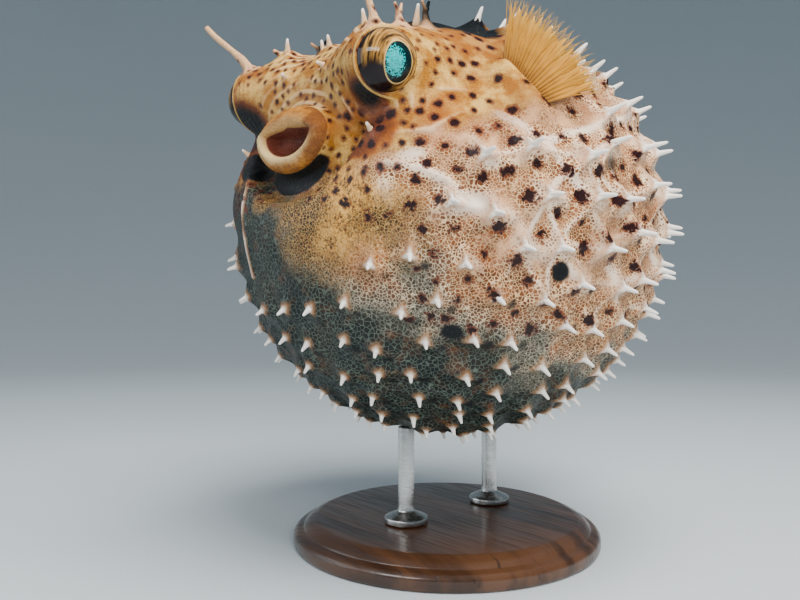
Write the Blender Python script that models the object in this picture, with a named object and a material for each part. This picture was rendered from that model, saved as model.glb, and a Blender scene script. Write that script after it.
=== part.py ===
"""An inflated bridled burrfish, life size, as a still display model on a plain turned stand.

The fish is modelled in its own frame, x forward, y to its left, z up, with the middle of the
blown-up belly at the origin. The empty "fish" then noses it down, leans it and lifts it onto two
rods. The row frame has the fish facing -Y, its left side at +X, and the origin in the middle of
the stand's foot.
"""

import math

import bmesh
import bpy
import numpy as np
from mathutils import Matrix, Vector

# Driving dimensions, in metres.
R = 0.072  # half the width of the blown-up belly
GAP = 0.0003  # clear space between pieces that touch
HOLLOW_GAP = 1.4 * GAP  # a little more between faceted balls and the hollows they sit in
HEAD_CELLS, TRUNK_CELLS = 25, 14  # squares along each side of the ball that a piece is cut from

# The shapes of the body, as shares of R, and how widely each is blended into what is before it.
BALL = (1.015, 1.015)  # half length and half width
BALL_UP, BALL_DOWN = 0.93, 1.01  # height of the back and depth of the belly
FACE_NORMAL = (0.814, 0.0, 0.581)  # the face is flatter than the ball
FACE_OFFSET = 0.88
HEAD_CENTRE = (0.38, 0.0, 0.44)
HEAD_SIZE = (0.37, 0.60, 0.42)
HEAD_POWER = 3.4  # how square the brow is
HEAD_PITCH = math.radians(14)  # the forehead slopes down to the snout
FACE_BLEND, CHEEK_BLEND, HEAD_BLEND, BROW_BLEND = 0.06, 0.10, 0.08, 0.08
MUZZLE_BLEND, FOLD_BLEND = 0.06, 0.05
MUZZLE_CENTRE = (0.66, 0.0, 0.41)
MUZZLE_SIZE = (0.19, 0.31, 0.19)
BROW_CENTRE, BROW_SIZE = (0.60, 0.34, 0.66), (0.22, 0.22, 0.165)
CHEEK_CENTRE, CHEEK_SIZE = (0.52, 0.42, 0.15), (0.35, 0.35, 0.35)
MOUTH = (0.866, 0.0, 0.425)
MOUTH_FACING = Vector((0.985, 0.0, 0.17)).normalized()
LIP_WIDE, LIP_HIGH = 0.0149, 0.0071  # half widths of the lips' middle line
LIP_THICK, LIP_DEEP = 0.0031, 0.0052
MOUTH_DEPTH = 0.0035  # how far the hollow between the lips goes into the snout
CHIN_FOLD_REACH = 0.34  # how far the fold under the chin runs to each side
CHIN_FOLD_DROP = 0.18  # how far below the mouth it passes
CHIN_FOLD_RADIUS = 0.065
CHIN_FOLD_DEPTH = 0.05  # how far inside the ball it runs

# Eyes: a ball in a turret of skin that stands out of the brow.
EYE = (0.717, 0.43, 0.66)
EYE_AXIS = (0.33, 0.94, 0.0)
TURRET_RADIUS = 0.144
EYEBALL_RADIUS = 0.128
EYEBALL_PUSH = 0.045  # how far the ball sits outward of the turret's middle

# Where the head ends and the trunk begins: a slanting plane behind the eyes.
NECK = np.array((0.78, 0.0, 0.62))
NECK_OFFSET = 0.775

# Spines stand in rows round the ball, staggered, closer together on the belly.
BELLY_SPACING, BACK_SPACING = 0.0110, 0.0168
ROW_WANDER = 0.14  # how far a spine strays from its even place, as a share of the spacing
ROW_RISE = 0.92  # from one row up to the next, as a share of the spacing
SIDEWAYS_TURN, SIDEWAYS_ROW_TURN = 2.4, 1.7  # how fast the straying swings from spine to spine
UPWARD_TURN, UPWARD_ROW_TURN = 3.9, 2.3
LOWEST_ROW, HIGHEST_ROW = math.radians(-83), math.radians(84)
SPINE_LENGTH = 0.0078
SPINE_LEAN = (-0.24, 0.0, -0.10)  # the tips lean back and a little down
BELLY_SHORTENING = 0.50  # how much shorter the spines of the belly's front are
TENTED_LENGTH = 0.0062  # shorter spines are plain pyramids
HEAD_SPINES = (  # direction from the middle and length of the spines of brow and cheek
    (0.62, 0.00, 0.80, 0.0050),
    (0.62, 0.27, 0.78, 0.0065),
    (0.42, 0.33, 0.86, 0.0070),
    (0.74, 0.14, 0.68, 0.0032),
    (0.80, 0.45, 0.40, 0.0036),
)
SPINE_FLARE = 0.34  # height of the tented foot, as a share of the length
SPINE_WAIST = 0.20  # width of the needle, as a share of its foot's
SQUARE_REACH = 0.006  # a spine takes a square of skin no farther off than this
BARE_THROAT = 0.50  # spineless skin round the mouth, as a share of R
BARE_LID, BARE_PECTORAL, BARE_TAIL = 0.07, 0.20, 0.33  # and round lids, paired fins and tail root
BARE_MEDIAN, BARE_ROD = 0.17, 0.13  # and round the fins of the middle line and the rods
NECK_CLEAR = 0.085  # spines keep this far from the cut, as a share of R

# Tail.
TAIL_ROOT = (-0.86, 0.0, 0.22)
TAIL_END = (-1.42, -0.10, 0.25)
TAIL_ROOT_SIZE = (0.23, 0.26)  # half width and half height where it leaves the trunk
TAIL_END_SIZE = (0.055, 0.105)
TAIL_TAPER = 2.2  # how fast it narrows from the root

# Fins: where each leaves the skin, as a direction from the ball's middle.
PECTORAL = (0.32, 0.82, 0.57)
PECTORAL_REACH = 0.0235
PECTORAL_ROOT_LINE = (0.131, -0.600, 0.789)  # from the middle of the left fin's root to its top
PECTORAL_HALF_ROOT = 0.0078
PECTORAL_CUP = 0.003  # how far the tips bend away from the body
PECTORAL_FIRST, PECTORAL_LAST = (-0.20, -0.14, 1.0), (-0.94, 0.34, 0.22)
DORSAL = (-0.80, 0.0, 0.64)
ANAL = (-0.93, 0.0, -0.20)
MEDIAN_FIN_REACH = 0.026
MEDIAN_HALF_ROOT = 0.0068
CAUDAL_REACH = 0.031
FIN_THICKNESS = 0.0009
TENTACLE_ROOT = (0.26, 0.0, 1.0)  # where it stands on the turret
TENTACLE_FOOT, TENTACLE_TIP = 0.0020, 0.0007  # radii
TENTACLE_SUNK = 0.05  # how deep it starts under the skin, as a share of R
TENTACLE_BEND, TENTACLE_TAPER = 0.0010, 1.6
TENTACLES = {1: (0.0150, (0.06, 0.02, 1.0)), -1: (0.0285, (0.10, -0.26, 0.31))}

# How the fish hangs on its stand.
NOSE_DOWN = math.radians(7.5)
LEFT_DOWN = math.radians(1.9)
STAND_THICKNESS = 0.009
STAND_RADIUS = 0.054
BELLY_CLEARANCE = 0.030  # from the stand's top to the belly
FISH_HEIGHT = STAND_THICKNESS + BELLY_CLEARANCE + BALL_DOWN * R
ROD_RADIUS = 0.0028
ROD_PLACES = {"stand_rod_front": -0.019, "stand_rod_rear": 0.023}  # along Y
ROD_REACH = 0.020  # how far a rod would run into the belly before it is trimmed
COLLAR_RADIUS, COLLAR_HEIGHT = 0.0075, 0.0035


def make_material(name, colour, roughness, metallic=0.0):
    material = bpy.data.materials.new(name)
    material.use_nodes = True
    shader = material.node_tree.nodes["Principled BSDF"]
    shader.inputs["Base Color"].default_value = (*colour, 1.0)
    shader.inputs["Roughness"].default_value = roughness
    shader.inputs["Metallic"].default_value = metallic
    return material


def make_object(name, mesh, material, parent=None):
    thing = bpy.data.objects.new(name, mesh)
    bpy.context.scene.collection.objects.link(thing)
    mesh.materials.append(material)
    thing.parent = parent
    return thing


def mesh_from(name, points, faces):
    mesh = bpy.data.meshes.new(name)
    mesh.from_pydata([tuple(p) for p in points], [], faces)
    mesh.validate()
    shaper = bmesh.new()
    shaper.from_mesh(mesh)
    bmesh.ops.recalc_face_normals(shaper, faces=shaper.faces)
    shaper.to_mesh(mesh)
    shaper.free()
    return mesh


# ---------------------------------------------------------------- the body's surface


def smooth_least(a, b, width):
    """The lesser of two distances, with the crease between them rounded over width."""
    mix = np.clip(0.5 + 0.5 * (b - a) / width, 0, 1)
    return b + (a - b) * mix - width * mix * (1 - mix)


def ball_distance(p):
    height = np.where(p[:, 2] > 0, BALL_UP, BALL_DOWN)
    scaled = np.stack([p[:, 0] / BALL[0], p[:, 1] / BALL[1], p[:, 2] / height], 1)
    return np.linalg.norm(scaled, axis=1) - 1


def head_distance(p):
    turned = p - np.array(HEAD_CENTRE)
    c, s = math.cos(HEAD_PITCH), math.sin(HEAD_PITCH)
    along = turned[:, 0] * c - turned[:, 2] * s
    up = turned[:, 0] * s + turned[:, 2] * c
    shares = np.stack([along, turned[:, 1], up], 1) / np.array(HEAD_SIZE)
    total = (np.abs(shares) ** HEAD_POWER).sum(1) ** (1 / HEAD_POWER)
    return (total - 1) * min(HEAD_SIZE)


def egg_distance(p, centre, size):
    shares = (p - np.array(centre)) / np.array(size)
    return (np.linalg.norm(shares, axis=1) - 1) * min(size)


def chin_fold_line():
    """The fold under the chin, from cheek to cheek, like a smile: points on the ball."""
    turn = np.radians(np.linspace(-88, 88, 17))
    side = CHIN_FOLD_REACH * np.sin(turn)
    level = MOUTH[2] - CHIN_FOLD_DROP * np.cos(turn)
    front = np.sqrt(1 - side**2 - (level / BALL_UP) ** 2)
    return np.stack([front, side, level], 1) * (1 - CHIN_FOLD_DEPTH)


CHIN_FOLD = chin_fold_line()


def chin_fold_distance(p):
    nearest = np.linalg.norm(p[:, None] - CHIN_FOLD[None], axis=2).min(1)
    return nearest - CHIN_FOLD_RADIUS


def body_distance(p):
    """Rough distance to the skin of head and trunk, in shares of R, less than 0 inside."""
    body = -smooth_least(-ball_distance(p), FACE_OFFSET - p @ np.array(FACE_NORMAL), FACE_BLEND)
    left = np.stack([p[:, 0], np.abs(p[:, 1]), p[:, 2]], 1)
    body = smooth_least(body, egg_distance(left, CHEEK_CENTRE, CHEEK_SIZE), CHEEK_BLEND)
    body = smooth_least(body, head_distance(p), HEAD_BLEND)
    body = smooth_least(body, egg_distance(left, BROW_CENTRE, BROW_SIZE), BROW_BLEND)
    body = smooth_least(body, egg_distance(p, MUZZLE_CENTRE, MUZZLE_SIZE), MUZZLE_BLEND)
    return -smooth_least(-body, chin_fold_distance(p), FOLD_BLEND)


def body_radii(directions):
    """How far the skin lies from the middle in each direction: the outermost crossing."""
    steps = np.linspace(1.30, 0.62, 69)
    outer = np.full(len(directions), steps[0])
    inner = np.full(len(directions), steps[-1])
    found = np.zeros(len(directions), bool)
    for high, low in zip(steps[:-1], steps[1:]):
        inside = (body_distance(directions * low) < 0) & ~found
        outer[inside], inner[inside] = high, low
        found |= inside
    for _ in range(16):
        middle = (outer + inner) / 2
        inside = body_distance(directions * middle[:, None]) < 0
        inner = np.where(inside, middle, inner)
        outer = np.where(inside, outer, middle)
    return (outer + inner) / 2


def on_skin(directions):
    """The points of the skin that lie in the given directions from the middle."""
    directions = np.atleast_2d(np.array(directions, float))
    directions = directions / np.linalg.norm(directions, axis=1)[:, None]
    return directions * body_radii(directions)[:, None]


def surface_normals(points):
    step = 0.004 * np.eye(3)
    slope = np.stack([body_distance(points + s) - body_distance(points - s) for s in step], 1)
    return slope / np.linalg.norm(slope, axis=1)[:, None]


NECK /= np.linalg.norm(NECK)
MOUTH_MIDDLE = on_skin(MOUTH)[0]
PECTORAL_ROOTS = {side: on_skin((PECTORAL[0], side * PECTORAL[1], PECTORAL[2]))[0] for side in (-1, 1)}
DORSAL_ROOT, ANAL_ROOT = on_skin(DORSAL)[0], on_skin(ANAL)[0]


def quad_sphere(cells):
    """A cube's six faces of cells by cells squares, blown up to a ball of nearly equal squares."""
    ramp = np.tan(np.linspace(-math.pi / 4, math.pi / 4, cells + 1))
    places, index, faces = [], {}, []

    def corner(point):
        key = tuple(round(c, 6) for c in point)
        if key not in index:
            index[key] = len(places)
            places.append(point)
        return index[key]

    for axis in range(3):
        for side in (-1.0, 1.0):
            for i in range(cells):
                for j in range(cells):
                    ring = []
                    for a, b in ((i, j), (i + 1, j), (i + 1, j + 1), (i, j + 1)):
                        point = [0.0, 0.0, 0.0]
                        point[axis] = side
                        point[(axis + 1) % 3] = ramp[a]
                        point[(axis + 2) % 3] = ramp[b]
                        ring.append(corner(tuple(point)))
                    faces.append(ring if side > 0 else ring[::-1])
    directions = np.array(places)
    return directions / np.linalg.norm(directions, axis=1)[:, None], faces


# ---------------------------------------------------------------- spines


def row_directions():
    """Directions of staggered rows of sites, level by level from the belly to the back."""
    directions = []
    level, row = LOWEST_ROW, 0
    while level < HIGHEST_ROW:
        height = (math.sin(level) + 1) / 2
        spacing = (BELLY_SPACING + (BACK_SPACING - BELLY_SPACING) * height) / R
        count = round(2 * math.pi * math.cos(level) / spacing)
        for number in range(count):
            astray = ROW_WANDER * math.sin(SIDEWAYS_TURN * number + SIDEWAYS_ROW_TURN * row)
            lift = ROW_WANDER * math.sin(UPWARD_TURN * number + UPWARD_ROW_TURN * row)
            above = level + spacing * lift
            turn = 2 * math.pi * (number + 0.5 * (row % 2) + astray) / count
            flat = math.cos(above)
            directions.append((flat * math.cos(turn), flat * math.sin(turn), math.sin(above)))
        level += spacing * ROW_RISE
        row += 1
    return directions


def spine_sites():
    """Foot and tip of each spine, in shares of R: the rows less the bare places, and the head's."""
    feet = on_skin(row_directions())
    feet = feet[spine_allowed(feet)]
    lower_front = np.clip(0.6 * feet[:, 0] - 0.8 * feet[:, 2], 0, 1)
    length = SPINE_LENGTH / R * (1 - BELLY_SHORTENING * lower_front)
    for x, y, z, long in HEAD_SPINES:
        for side in (1, -1) if y else (1,):
            feet = np.vstack([feet, on_skin((x, side * y, z))])
            length = np.append(length, long / R)
    outward = surface_normals(feet)
    lean = np.array(SPINE_LEAN)
    direction = outward + lean - outward * (outward @ lean)[:, None]
    direction /= np.linalg.norm(direction, axis=1)[:, None]
    return feet, feet + direction * length[:, None]


def spine_allowed(feet):
    """False on head and throat, at fin and tail roots, over the rods and on the neck cut."""

    def apart(place):
        return np.linalg.norm(feet - place, axis=1)

    allowed = feet @ NECK < NECK_OFFSET - NECK_CLEAR
    allowed &= apart(MOUTH_MIDDLE) > BARE_THROAT
    for side in (-1, 1):
        allowed &= apart((EYE[0], side * EYE[1], EYE[2])) > TURRET_RADIUS + BARE_LID
        allowed &= apart(PECTORAL_ROOTS[side]) > BARE_PECTORAL
    off_tail = np.hypot(feet[:, 1], feet[:, 2] - TAIL_ROOT[2]) > BARE_TAIL
    allowed &= off_tail | (feet[:, 0] > 0)
    for root in (DORSAL_ROOT, ANAL_ROOT):
        allowed &= apart(root) > BARE_MEDIAN
    for along in ROD_PLACES.values():
        off_rod = np.hypot(feet[:, 0] + along / R, feet[:, 1]) > BARE_ROD
        allowed &= off_rod | (feet[:, 2] > 0)
    return allowed


def grow_spines(shaper, feet, tips):
    """Draws the face under each spine's foot out into a tented foot and a needle."""
    squares = list(shaper.faces)
    middles = np.array([f.calc_center_median() for f in squares])
    for foot, tip in zip(feet * R, tips * R):
        gaps = np.linalg.norm(middles - foot, axis=1)
        nearest = int(gaps.argmin())
        if gaps[nearest] > SQUARE_REACH:
            continue
        face = squares[nearest]
        corners = list(face.verts)
        middles[nearest] = 9.0
        middle = face.calc_center_median()
        point = shaper.verts.new(tip)
        shaper.faces.remove(face)
        if np.linalg.norm(tip - foot) > TENTED_LENGTH:
            waist_middle = middle.lerp(Vector(tip), SPINE_FLARE)
            waist = [shaper.verts.new(waist_middle + (v.co - middle) * SPINE_WAIST) for v in corners]
            for a in range(4):
                b = (a + 1) % 4
                shaper.faces.new((corners[a], corners[b], waist[b], waist[a]))
            corners = waist
        for a in range(4):
            shaper.faces.new((corners[a], corners[(a + 1) % 4], point))


# ---------------------------------------------------------------- head and trunk


def body_piece(name, cells, side, sites, material, fish):
    """One side of the neck cut: the whole body at its own fineness, cut and capped. side is 1 for
    the head and -1 for the trunk."""
    directions, faces = quad_sphere(cells)
    mesh = mesh_from(name, directions * body_radii(directions)[:, None] * R, faces)
    shaper = bmesh.new()
    shaper.from_mesh(mesh)
    feet, tips = sites
    mine = side * (feet @ NECK - NECK_OFFSET) > 0
    grow_spines(shaper, feet[mine], tips[mine])
    cut = bmesh.ops.bisect_plane(
        shaper,
        geom=shaper.verts[:] + shaper.edges[:] + shaper.faces[:],
        dist=1e-4,
        plane_co=Vector(NECK) * (NECK_OFFSET * R + side * GAP / 2),
        plane_no=Vector(NECK) * side,
        clear_inner=True,
    )
    rim = [e for e in cut["geom_cut"] if isinstance(e, bmesh.types.BMEdge)]
    bmesh.ops.contextual_create(shaper, geom=rim)
    bmesh.ops.triangulate(shaper, faces=[f for f in shaper.faces if len(f.verts) > 4])
    bmesh.ops.recalc_face_normals(shaper, faces=shaper.faces)
    shaper.to_mesh(mesh)
    shaper.free()
    return make_object(name, mesh, material, fish)


def swollen_copy(thing, by=GAP):
    """A guide a little larger than a piece, for trimming its neighbours clear of it."""
    mesh = thing.data.copy()
    shaper = bmesh.new()
    shaper.from_mesh(mesh)
    bmesh.ops.recalc_face_normals(shaper, faces=shaper.faces)
    shaper.normal_update()
    moved = [v.co + v.normal * by for v in shaper.verts]
    for vertex, place in zip(shaper.verts, moved):
        vertex.co = place
    shaper.to_mesh(mesh)
    shaper.free()
    return as_guide(f"{thing.name}_guide", mesh, thing.parent)


def as_guide(name, mesh, parent):
    guide = bpy.data.objects.new(name, mesh)
    bpy.context.scene.collection.objects.link(guide)
    guide.parent = parent
    guide.hide_render = True
    guide.display_type = "WIRE"
    return guide


def trim(thing, *guides):
    for guide in guides:
        cut = thing.modifiers.new(f"clear_of_{guide.name}", "BOOLEAN")
        cut.operation = "DIFFERENCE"
        cut.solver = "EXACT"
        cut.object = guide


# ---------------------------------------------------------------- round and long pieces


def ball_mesh(name, centre, size, axis, rings=10, around=16):
    """An ellipsoid with its poles on axis; size is its three half widths, the last along axis."""
    shaper = bmesh.new()
    turn = Vector(axis).to_track_quat("Z", "Y").to_matrix().to_4x4()
    matrix = Matrix.Translation(centre) @ turn @ Matrix.Diagonal((*size, 1.0))
    bmesh.ops.create_uvsphere(
        shaper, u_segments=around, v_segments=rings, radius=1.0, matrix=matrix
    )
    mesh = bpy.data.meshes.new(name)
    shaper.to_mesh(mesh)
    shaper.free()
    return mesh


def tube_mesh(name, rings, around):
    """A closed skin over rings, each a centre, two half widths and their two directions."""
    points, faces = [], []
    for centre, wide, high, across, up in rings:
        for step in range(around):
            turn = 2 * math.pi * step / around
            points.append(
                Vector(centre)
                + Vector(across) * wide * math.cos(turn)
                + Vector(up) * high * math.sin(turn)
            )
    for row in range(len(rings) - 1):
        for step in range(around):
            after = (step + 1) % around
            low, high = row * around, (row + 1) * around
            faces.append((low + step, low + after, high + after, high + step))
    faces.append(tuple(range(around))[::-1])
    faces.append(tuple(range((len(rings) - 1) * around, len(rings) * around)))
    return mesh_from(name, points, faces)


def lips_mesh(name):
    """A thick oval ring of flesh, facing forward and a little up."""
    facing = MOUTH_FACING
    across, up = Vector((0, 1, 0)), facing.cross(Vector((0, 1, 0)))
    centre = Vector(MOUTH_MIDDLE) * R
    points, faces = [], []
    around, section = 20, 7
    for step in range(around):
        turn = 2 * math.pi * step / around
        out = across * math.cos(turn) + up * math.sin(turn)
        middle = centre + across * LIP_WIDE * math.cos(turn) + up * LIP_HIGH * math.sin(turn)
        for part in range(section):
            roll = 2 * math.pi * part / section
            points.append(
                middle + out * LIP_THICK * math.cos(roll) + facing * LIP_DEEP * math.sin(roll)
            )
    for step in range(around):
        for part in range(section):
            a, b = step * section, ((step + 1) % around) * section
            after = (part + 1) % section
            faces.append((a + part, a + after, b + after, b + part))
    return mesh_from(name, points, faces)


# ---------------------------------------------------------------- fins


def fin_mesh(name, root, root_line, first, last, reach, cup, out, sink=0.10):
    """A fan of webbed rays. root is the middle of its root and root_line half its length as a
    vector; first and last are the directions of the end rays; cup bends the tips towards out."""
    rays, rows = 13, 4
    first, last, out = Vector(first).normalized(), Vector(last).normalized(), Vector(out)
    front, back = [], []
    for ray in range(rays):
        share = ray / (rays - 1)
        base = Vector(root) + Vector(root_line) * (1 - 2 * share)
        direction = first.slerp(last, share)
        length = reach * (0.80 + 0.20 * math.sin(math.pi * (0.15 + 0.7 * share)))
        if ray % 2:
            length *= 0.965
        for row in range(rows):
            way = -sink + (1 + sink) * row / (rows - 1)
            middle = base + direction * length * way + out * cup * max(0.0, way) ** 2
            half = FIN_THICKNESS * (1 - 0.42 * max(0.0, way)) / 2
            face = direction.cross(Vector(root_line)).normalized()
            front.append(middle + face * half)
            back.append(middle - face * half)
    count = rays * rows
    faces = []
    for ray in range(rays - 1):
        for row in range(rows - 1):
            a, b = ray * rows + row, (ray + 1) * rows + row
            faces.append((a, b, b + 1, a + 1))
            faces.append((count + a, count + a + 1, count + b + 1, count + b))
    rim = [ray * rows for ray in range(rays)]
    rim += [(rays - 1) * rows + row for row in range(1, rows)]
    rim += [ray * rows + rows - 1 for ray in range(rays - 2, -1, -1)]
    rim += [row for row in range(rows - 2, 0, -1)]
    for a, b in zip(rim, rim[1:] + rim[:1]):
        faces.append((a, b, count + b, count + a))
    return mesh_from(name, front + back, faces)


# ---------------------------------------------------------------- putting it together


def build_fish(materials):
    """Builds the whole fish and returns a guide of its trunk, for what is trimmed to it."""
    fish = bpy.data.objects.new("fish", None)
    bpy.context.scene.collection.objects.link(fish)
    lean = Matrix.Rotation(LEFT_DOWN, 4, "X").inverted() @ Matrix.Rotation(NOSE_DOWN, 4, "Y")
    fish.matrix_world = (
        Matrix.Translation((0, 0, FISH_HEIGHT)) @ Matrix.Rotation(-math.pi / 2, 4, "Z") @ lean
    )
    sites = spine_sites()
    head = body_piece("head", HEAD_CELLS, 1, sites, materials["skin"], fish)
    trunk = body_piece("trunk", TRUNK_CELLS, -1, sites, materials["skin"], fish)
    head_guide, trunk_guide = swollen_copy(head), swollen_copy(trunk)
    add_eyes(materials, fish, head, head_guide, trunk_guide)
    add_mouth(materials, fish, head, head_guide)
    add_tail(materials, fish, trunk_guide)
    add_paired_fins(materials, fish, trunk_guide)
    return trunk_guide


def add_eyes(materials, fish, head, head_guide, trunk_guide):
    for side, word in ((1, "left"), (-1, "right")):
        centre = Vector((EYE[0], side * EYE[1], EYE[2])) * R
        axis = Vector((EYE_AXIS[0], side * EYE_AXIS[1], EYE_AXIS[2])).normalized()
        ball_centre = centre + axis * EYEBALL_PUSH * R
        ball_radius = EYEBALL_RADIUS * R
        ball = ball_mesh(f"eye_{word}", ball_centre, (ball_radius,) * 3, axis)
        make_object(f"eye_{word}", ball, materials["eye"], fish)
        socket_radius = ball_radius + HOLLOW_GAP
        socket = as_guide(
            f"socket_{word}",
            ball_mesh("socket", ball_centre, (socket_radius,) * 3, axis),
            fish,
        )
        trim(head, socket)
        turret = ball_mesh(f"eyelid_{word}", centre, (TURRET_RADIUS * R,) * 3, axis)
        lid = make_object(f"eyelid_{word}", turret, materials["skin"], fish)
        turret_guide = swollen_copy(lid)
        trim(lid, head_guide, trunk_guide, socket)
        tentacle = add_tentacle(materials, fish, centre, side, word)
        trim(tentacle, head_guide, turret_guide)


def add_tentacle(materials, fish, eye_centre, side, word):
    """The fleshy feeler that stands on each brow: the left one upright, the right one out."""
    length, lean = TENTACLES[side]
    lean = Vector(lean).normalized()
    rise = (TURRET_RADIUS - TENTACLE_SUNK) * R
    root = eye_centre + Vector(TENTACLE_ROOT).normalized() * rise
    across = lean.cross(Vector((1, 0, 0))).normalized()
    up = lean.cross(across)
    rings = []
    for step in range(7):
        way = step / 6
        bend = across * TENTACLE_BEND * math.sin(way * math.pi * 1.6)
        radius = TENTACLE_TIP + (TENTACLE_FOOT - TENTACLE_TIP) * (1 - way) ** TENTACLE_TAPER
        rings.append((root + lean * length * way + bend, radius, radius, across, up))
    mesh = tube_mesh(f"tentacle_{word}", rings, 8)
    return make_object(f"tentacle_{word}", mesh, materials["skin"], fish)


def add_mouth(materials, fish, head, head_guide):
    """Lips on the snout, round a shallow hollow with a pink lining."""
    lips = make_object("lips", lips_mesh("lips"), materials["lips"], fish)
    trim(lips, head_guide)
    size = (LIP_WIDE - LIP_THICK - 2 * GAP, LIP_HIGH - LIP_THICK - 2 * GAP, MOUTH_DEPTH)
    centre = Vector(MOUTH_MIDDLE) * R - MOUTH_FACING * MOUTH_DEPTH * 0.5
    inside = ball_mesh("mouth", centre, size, MOUTH_FACING, 6)
    make_object("mouth", inside, materials["mouth"], fish)
    hollow = as_guide(
        "mouth_hollow",
        ball_mesh("hollow", centre, [half + HOLLOW_GAP for half in size], MOUTH_FACING, 6),
        fish,
    )
    trim(head, hollow)


def add_tail(materials, fish, trunk_guide):
    root, end = Vector(TAIL_ROOT), Vector(TAIL_END)
    rings = []
    for step in range(8):
        way = step / 7
        slim = 1 - (1 - way) ** TAIL_TAPER
        wide = TAIL_ROOT_SIZE[0] + (TAIL_END_SIZE[0] - TAIL_ROOT_SIZE[0]) * slim
        high = TAIL_ROOT_SIZE[1] + (TAIL_END_SIZE[1] - TAIL_ROOT_SIZE[1]) * slim
        rings.append(((root + (end - root) * way) * R, wide * R, high * R, (0, 1, 0), (0, 0, 1)))
    tail = make_object("tail", tube_mesh("tail", rings, 16), materials["skin"], fish)
    trim(tail, trunk_guide)
    tail_guide = swollen_copy(tail)
    half = TAIL_END_SIZE[1] * R
    caudal = fin_mesh(
        "caudal_fin",
        end * R + Vector((-GAP * 2, 0, 0)),
        (0, 0, half * 0.95),
        (-1, 0, 0.40),
        (-1, 0, -0.40),
        CAUDAL_REACH,
        0.0,
        (0, 1, 0),
        sink=0.0,
    )
    make_object("caudal_fin", caudal, materials["fin"], fish)
    for name, root_point, first, last in (
        ("dorsal_fin", DORSAL_ROOT, (-0.25, 0, 1.0), (-1.0, 0, 0.35)),
        ("anal_fin", ANAL_ROOT, (-0.75, 0, -0.75), (-1.0, 0, -0.05)),
    ):
        outward = Vector(surface_normals(root_point[None])[0])
        along = Vector((0, 1, 0)).cross(outward).normalized() * MEDIAN_HALF_ROOT
        if along.x < 0:
            along = -along
        mesh = fin_mesh(
            name, Vector(root_point) * R, along, first, last, MEDIAN_FIN_REACH, 0.0, (0, 1, 0)
        )
        fin = make_object(name, mesh, materials["fin"], fish)
        trim(fin, trunk_guide, tail_guide)


def add_paired_fins(materials, fish, trunk_guide):
    for side, word in ((1, "left"), (-1, "right")):
        root = Vector(PECTORAL_ROOTS[side]) * R
        mirror = Vector((1, side, 1))
        line = Vector(PECTORAL_ROOT_LINE) * mirror * PECTORAL_HALF_ROOT
        first, last = Vector(PECTORAL_FIRST) * mirror, Vector(PECTORAL_LAST) * mirror
        outward = Vector((0, side, 0))
        name = f"pectoral_fin_{word}"
        mesh = fin_mesh(name, root, line, first, last, PECTORAL_REACH, PECTORAL_CUP, outward)
        fin = make_object(name, mesh, materials["fin"], fish)
        trim(fin, trunk_guide)


def build_stand(materials, trunk_guide):
    """A turned wooden foot and two metal rods, each with a collar, trimmed to the belly."""
    profile = [
        (0.0, 0.0),
        (STAND_RADIUS - 0.0010, 0.0),
        (STAND_RADIUS, 0.0010),
        (STAND_RADIUS, 0.0042),
        (STAND_RADIUS - 0.0012, 0.0056),
        (STAND_RADIUS - 0.0032, 0.0062),
        (STAND_RADIUS - 0.0052, 0.0078),
        (STAND_RADIUS - 0.0080, STAND_THICKNESS),
        (0.0, STAND_THICKNESS),
    ]
    make_object("stand_base", turned_mesh("stand_base", profile, 36), materials["wood"])
    for name, along in ROD_PLACES.items():
        top = STAND_THICKNESS + BELLY_CLEARANCE + ROD_REACH
        profile = [
            (0.0, STAND_THICKNESS + GAP),
            (COLLAR_RADIUS, STAND_THICKNESS + GAP),
            (COLLAR_RADIUS, STAND_THICKNESS + COLLAR_HEIGHT * 0.6),
            (COLLAR_RADIUS * 0.62, STAND_THICKNESS + COLLAR_HEIGHT),
            (ROD_RADIUS, STAND_THICKNESS + COLLAR_HEIGHT * 1.25),
            (ROD_RADIUS, top),
            (0.0, top),
        ]
        rod = make_object(name, turned_mesh(name, profile, 12), materials["metal"])
        rod.location = (0.0, along, 0.0)
        trim(rod, trunk_guide)


def turned_mesh(name, profile, around):
    """A profile of (radius, height) points, from the axis back to the axis, turned about Z."""
    points = [Vector((0, 0, profile[0][1])), Vector((0, 0, profile[-1][1]))]
    for radius, height in profile[1:-1]:
        for step in range(around):
            turn = 2 * math.pi * step / around
            points.append(Vector((radius * math.cos(turn), radius * math.sin(turn), height)))
    faces = []
    rows = len(profile) - 2
    for step in range(around):
        after = (step + 1) % around
        faces.append((0, 2 + after, 2 + step))
        last = 2 + (rows - 1) * around
        faces.append((1, last + step, last + after))
        for row in range(rows - 1):
            low, high = 2 + row * around, 2 + (row + 1) * around
            faces.append((low + step, low + after, high + after, high + step))
    return mesh_from(name, points, faces)


def main():
    for thing in list(bpy.data.objects):
        bpy.data.objects.remove(thing)
    materials = {
        "skin": make_material("skin", (0.62, 0.44, 0.28), 0.45),
        "lips": make_material("lips", (0.66, 0.50, 0.28), 0.35),
        "mouth": make_material("mouth", (0.38, 0.13, 0.11), 0.35),
        "eye": make_material("eye", (0.03, 0.20, 0.19), 0.05),
        "fin": make_material("fin", (0.70, 0.47, 0.14), 0.40),
        "wood": make_material("wood", (0.09, 0.04, 0.02), 0.40),
        "metal": make_material("metal", (0.72, 0.70, 0.66), 0.30, 1.0),
    }
    build_stand(materials, build_fish(materials))


main()
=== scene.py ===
"""A blown-up bridled burrfish, life size, held by two rods over a turned wooden foot.

The fish is shaped in its own frame, x forward, y to its left, z up, with the middle of its
blown-up belly at the origin, and in shares of that belly's half width. to_row carries its points
to the model's own frame, in metres.
"""

import math

import bpy
import numpy as np
from mathutils import Matrix, Vector


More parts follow.
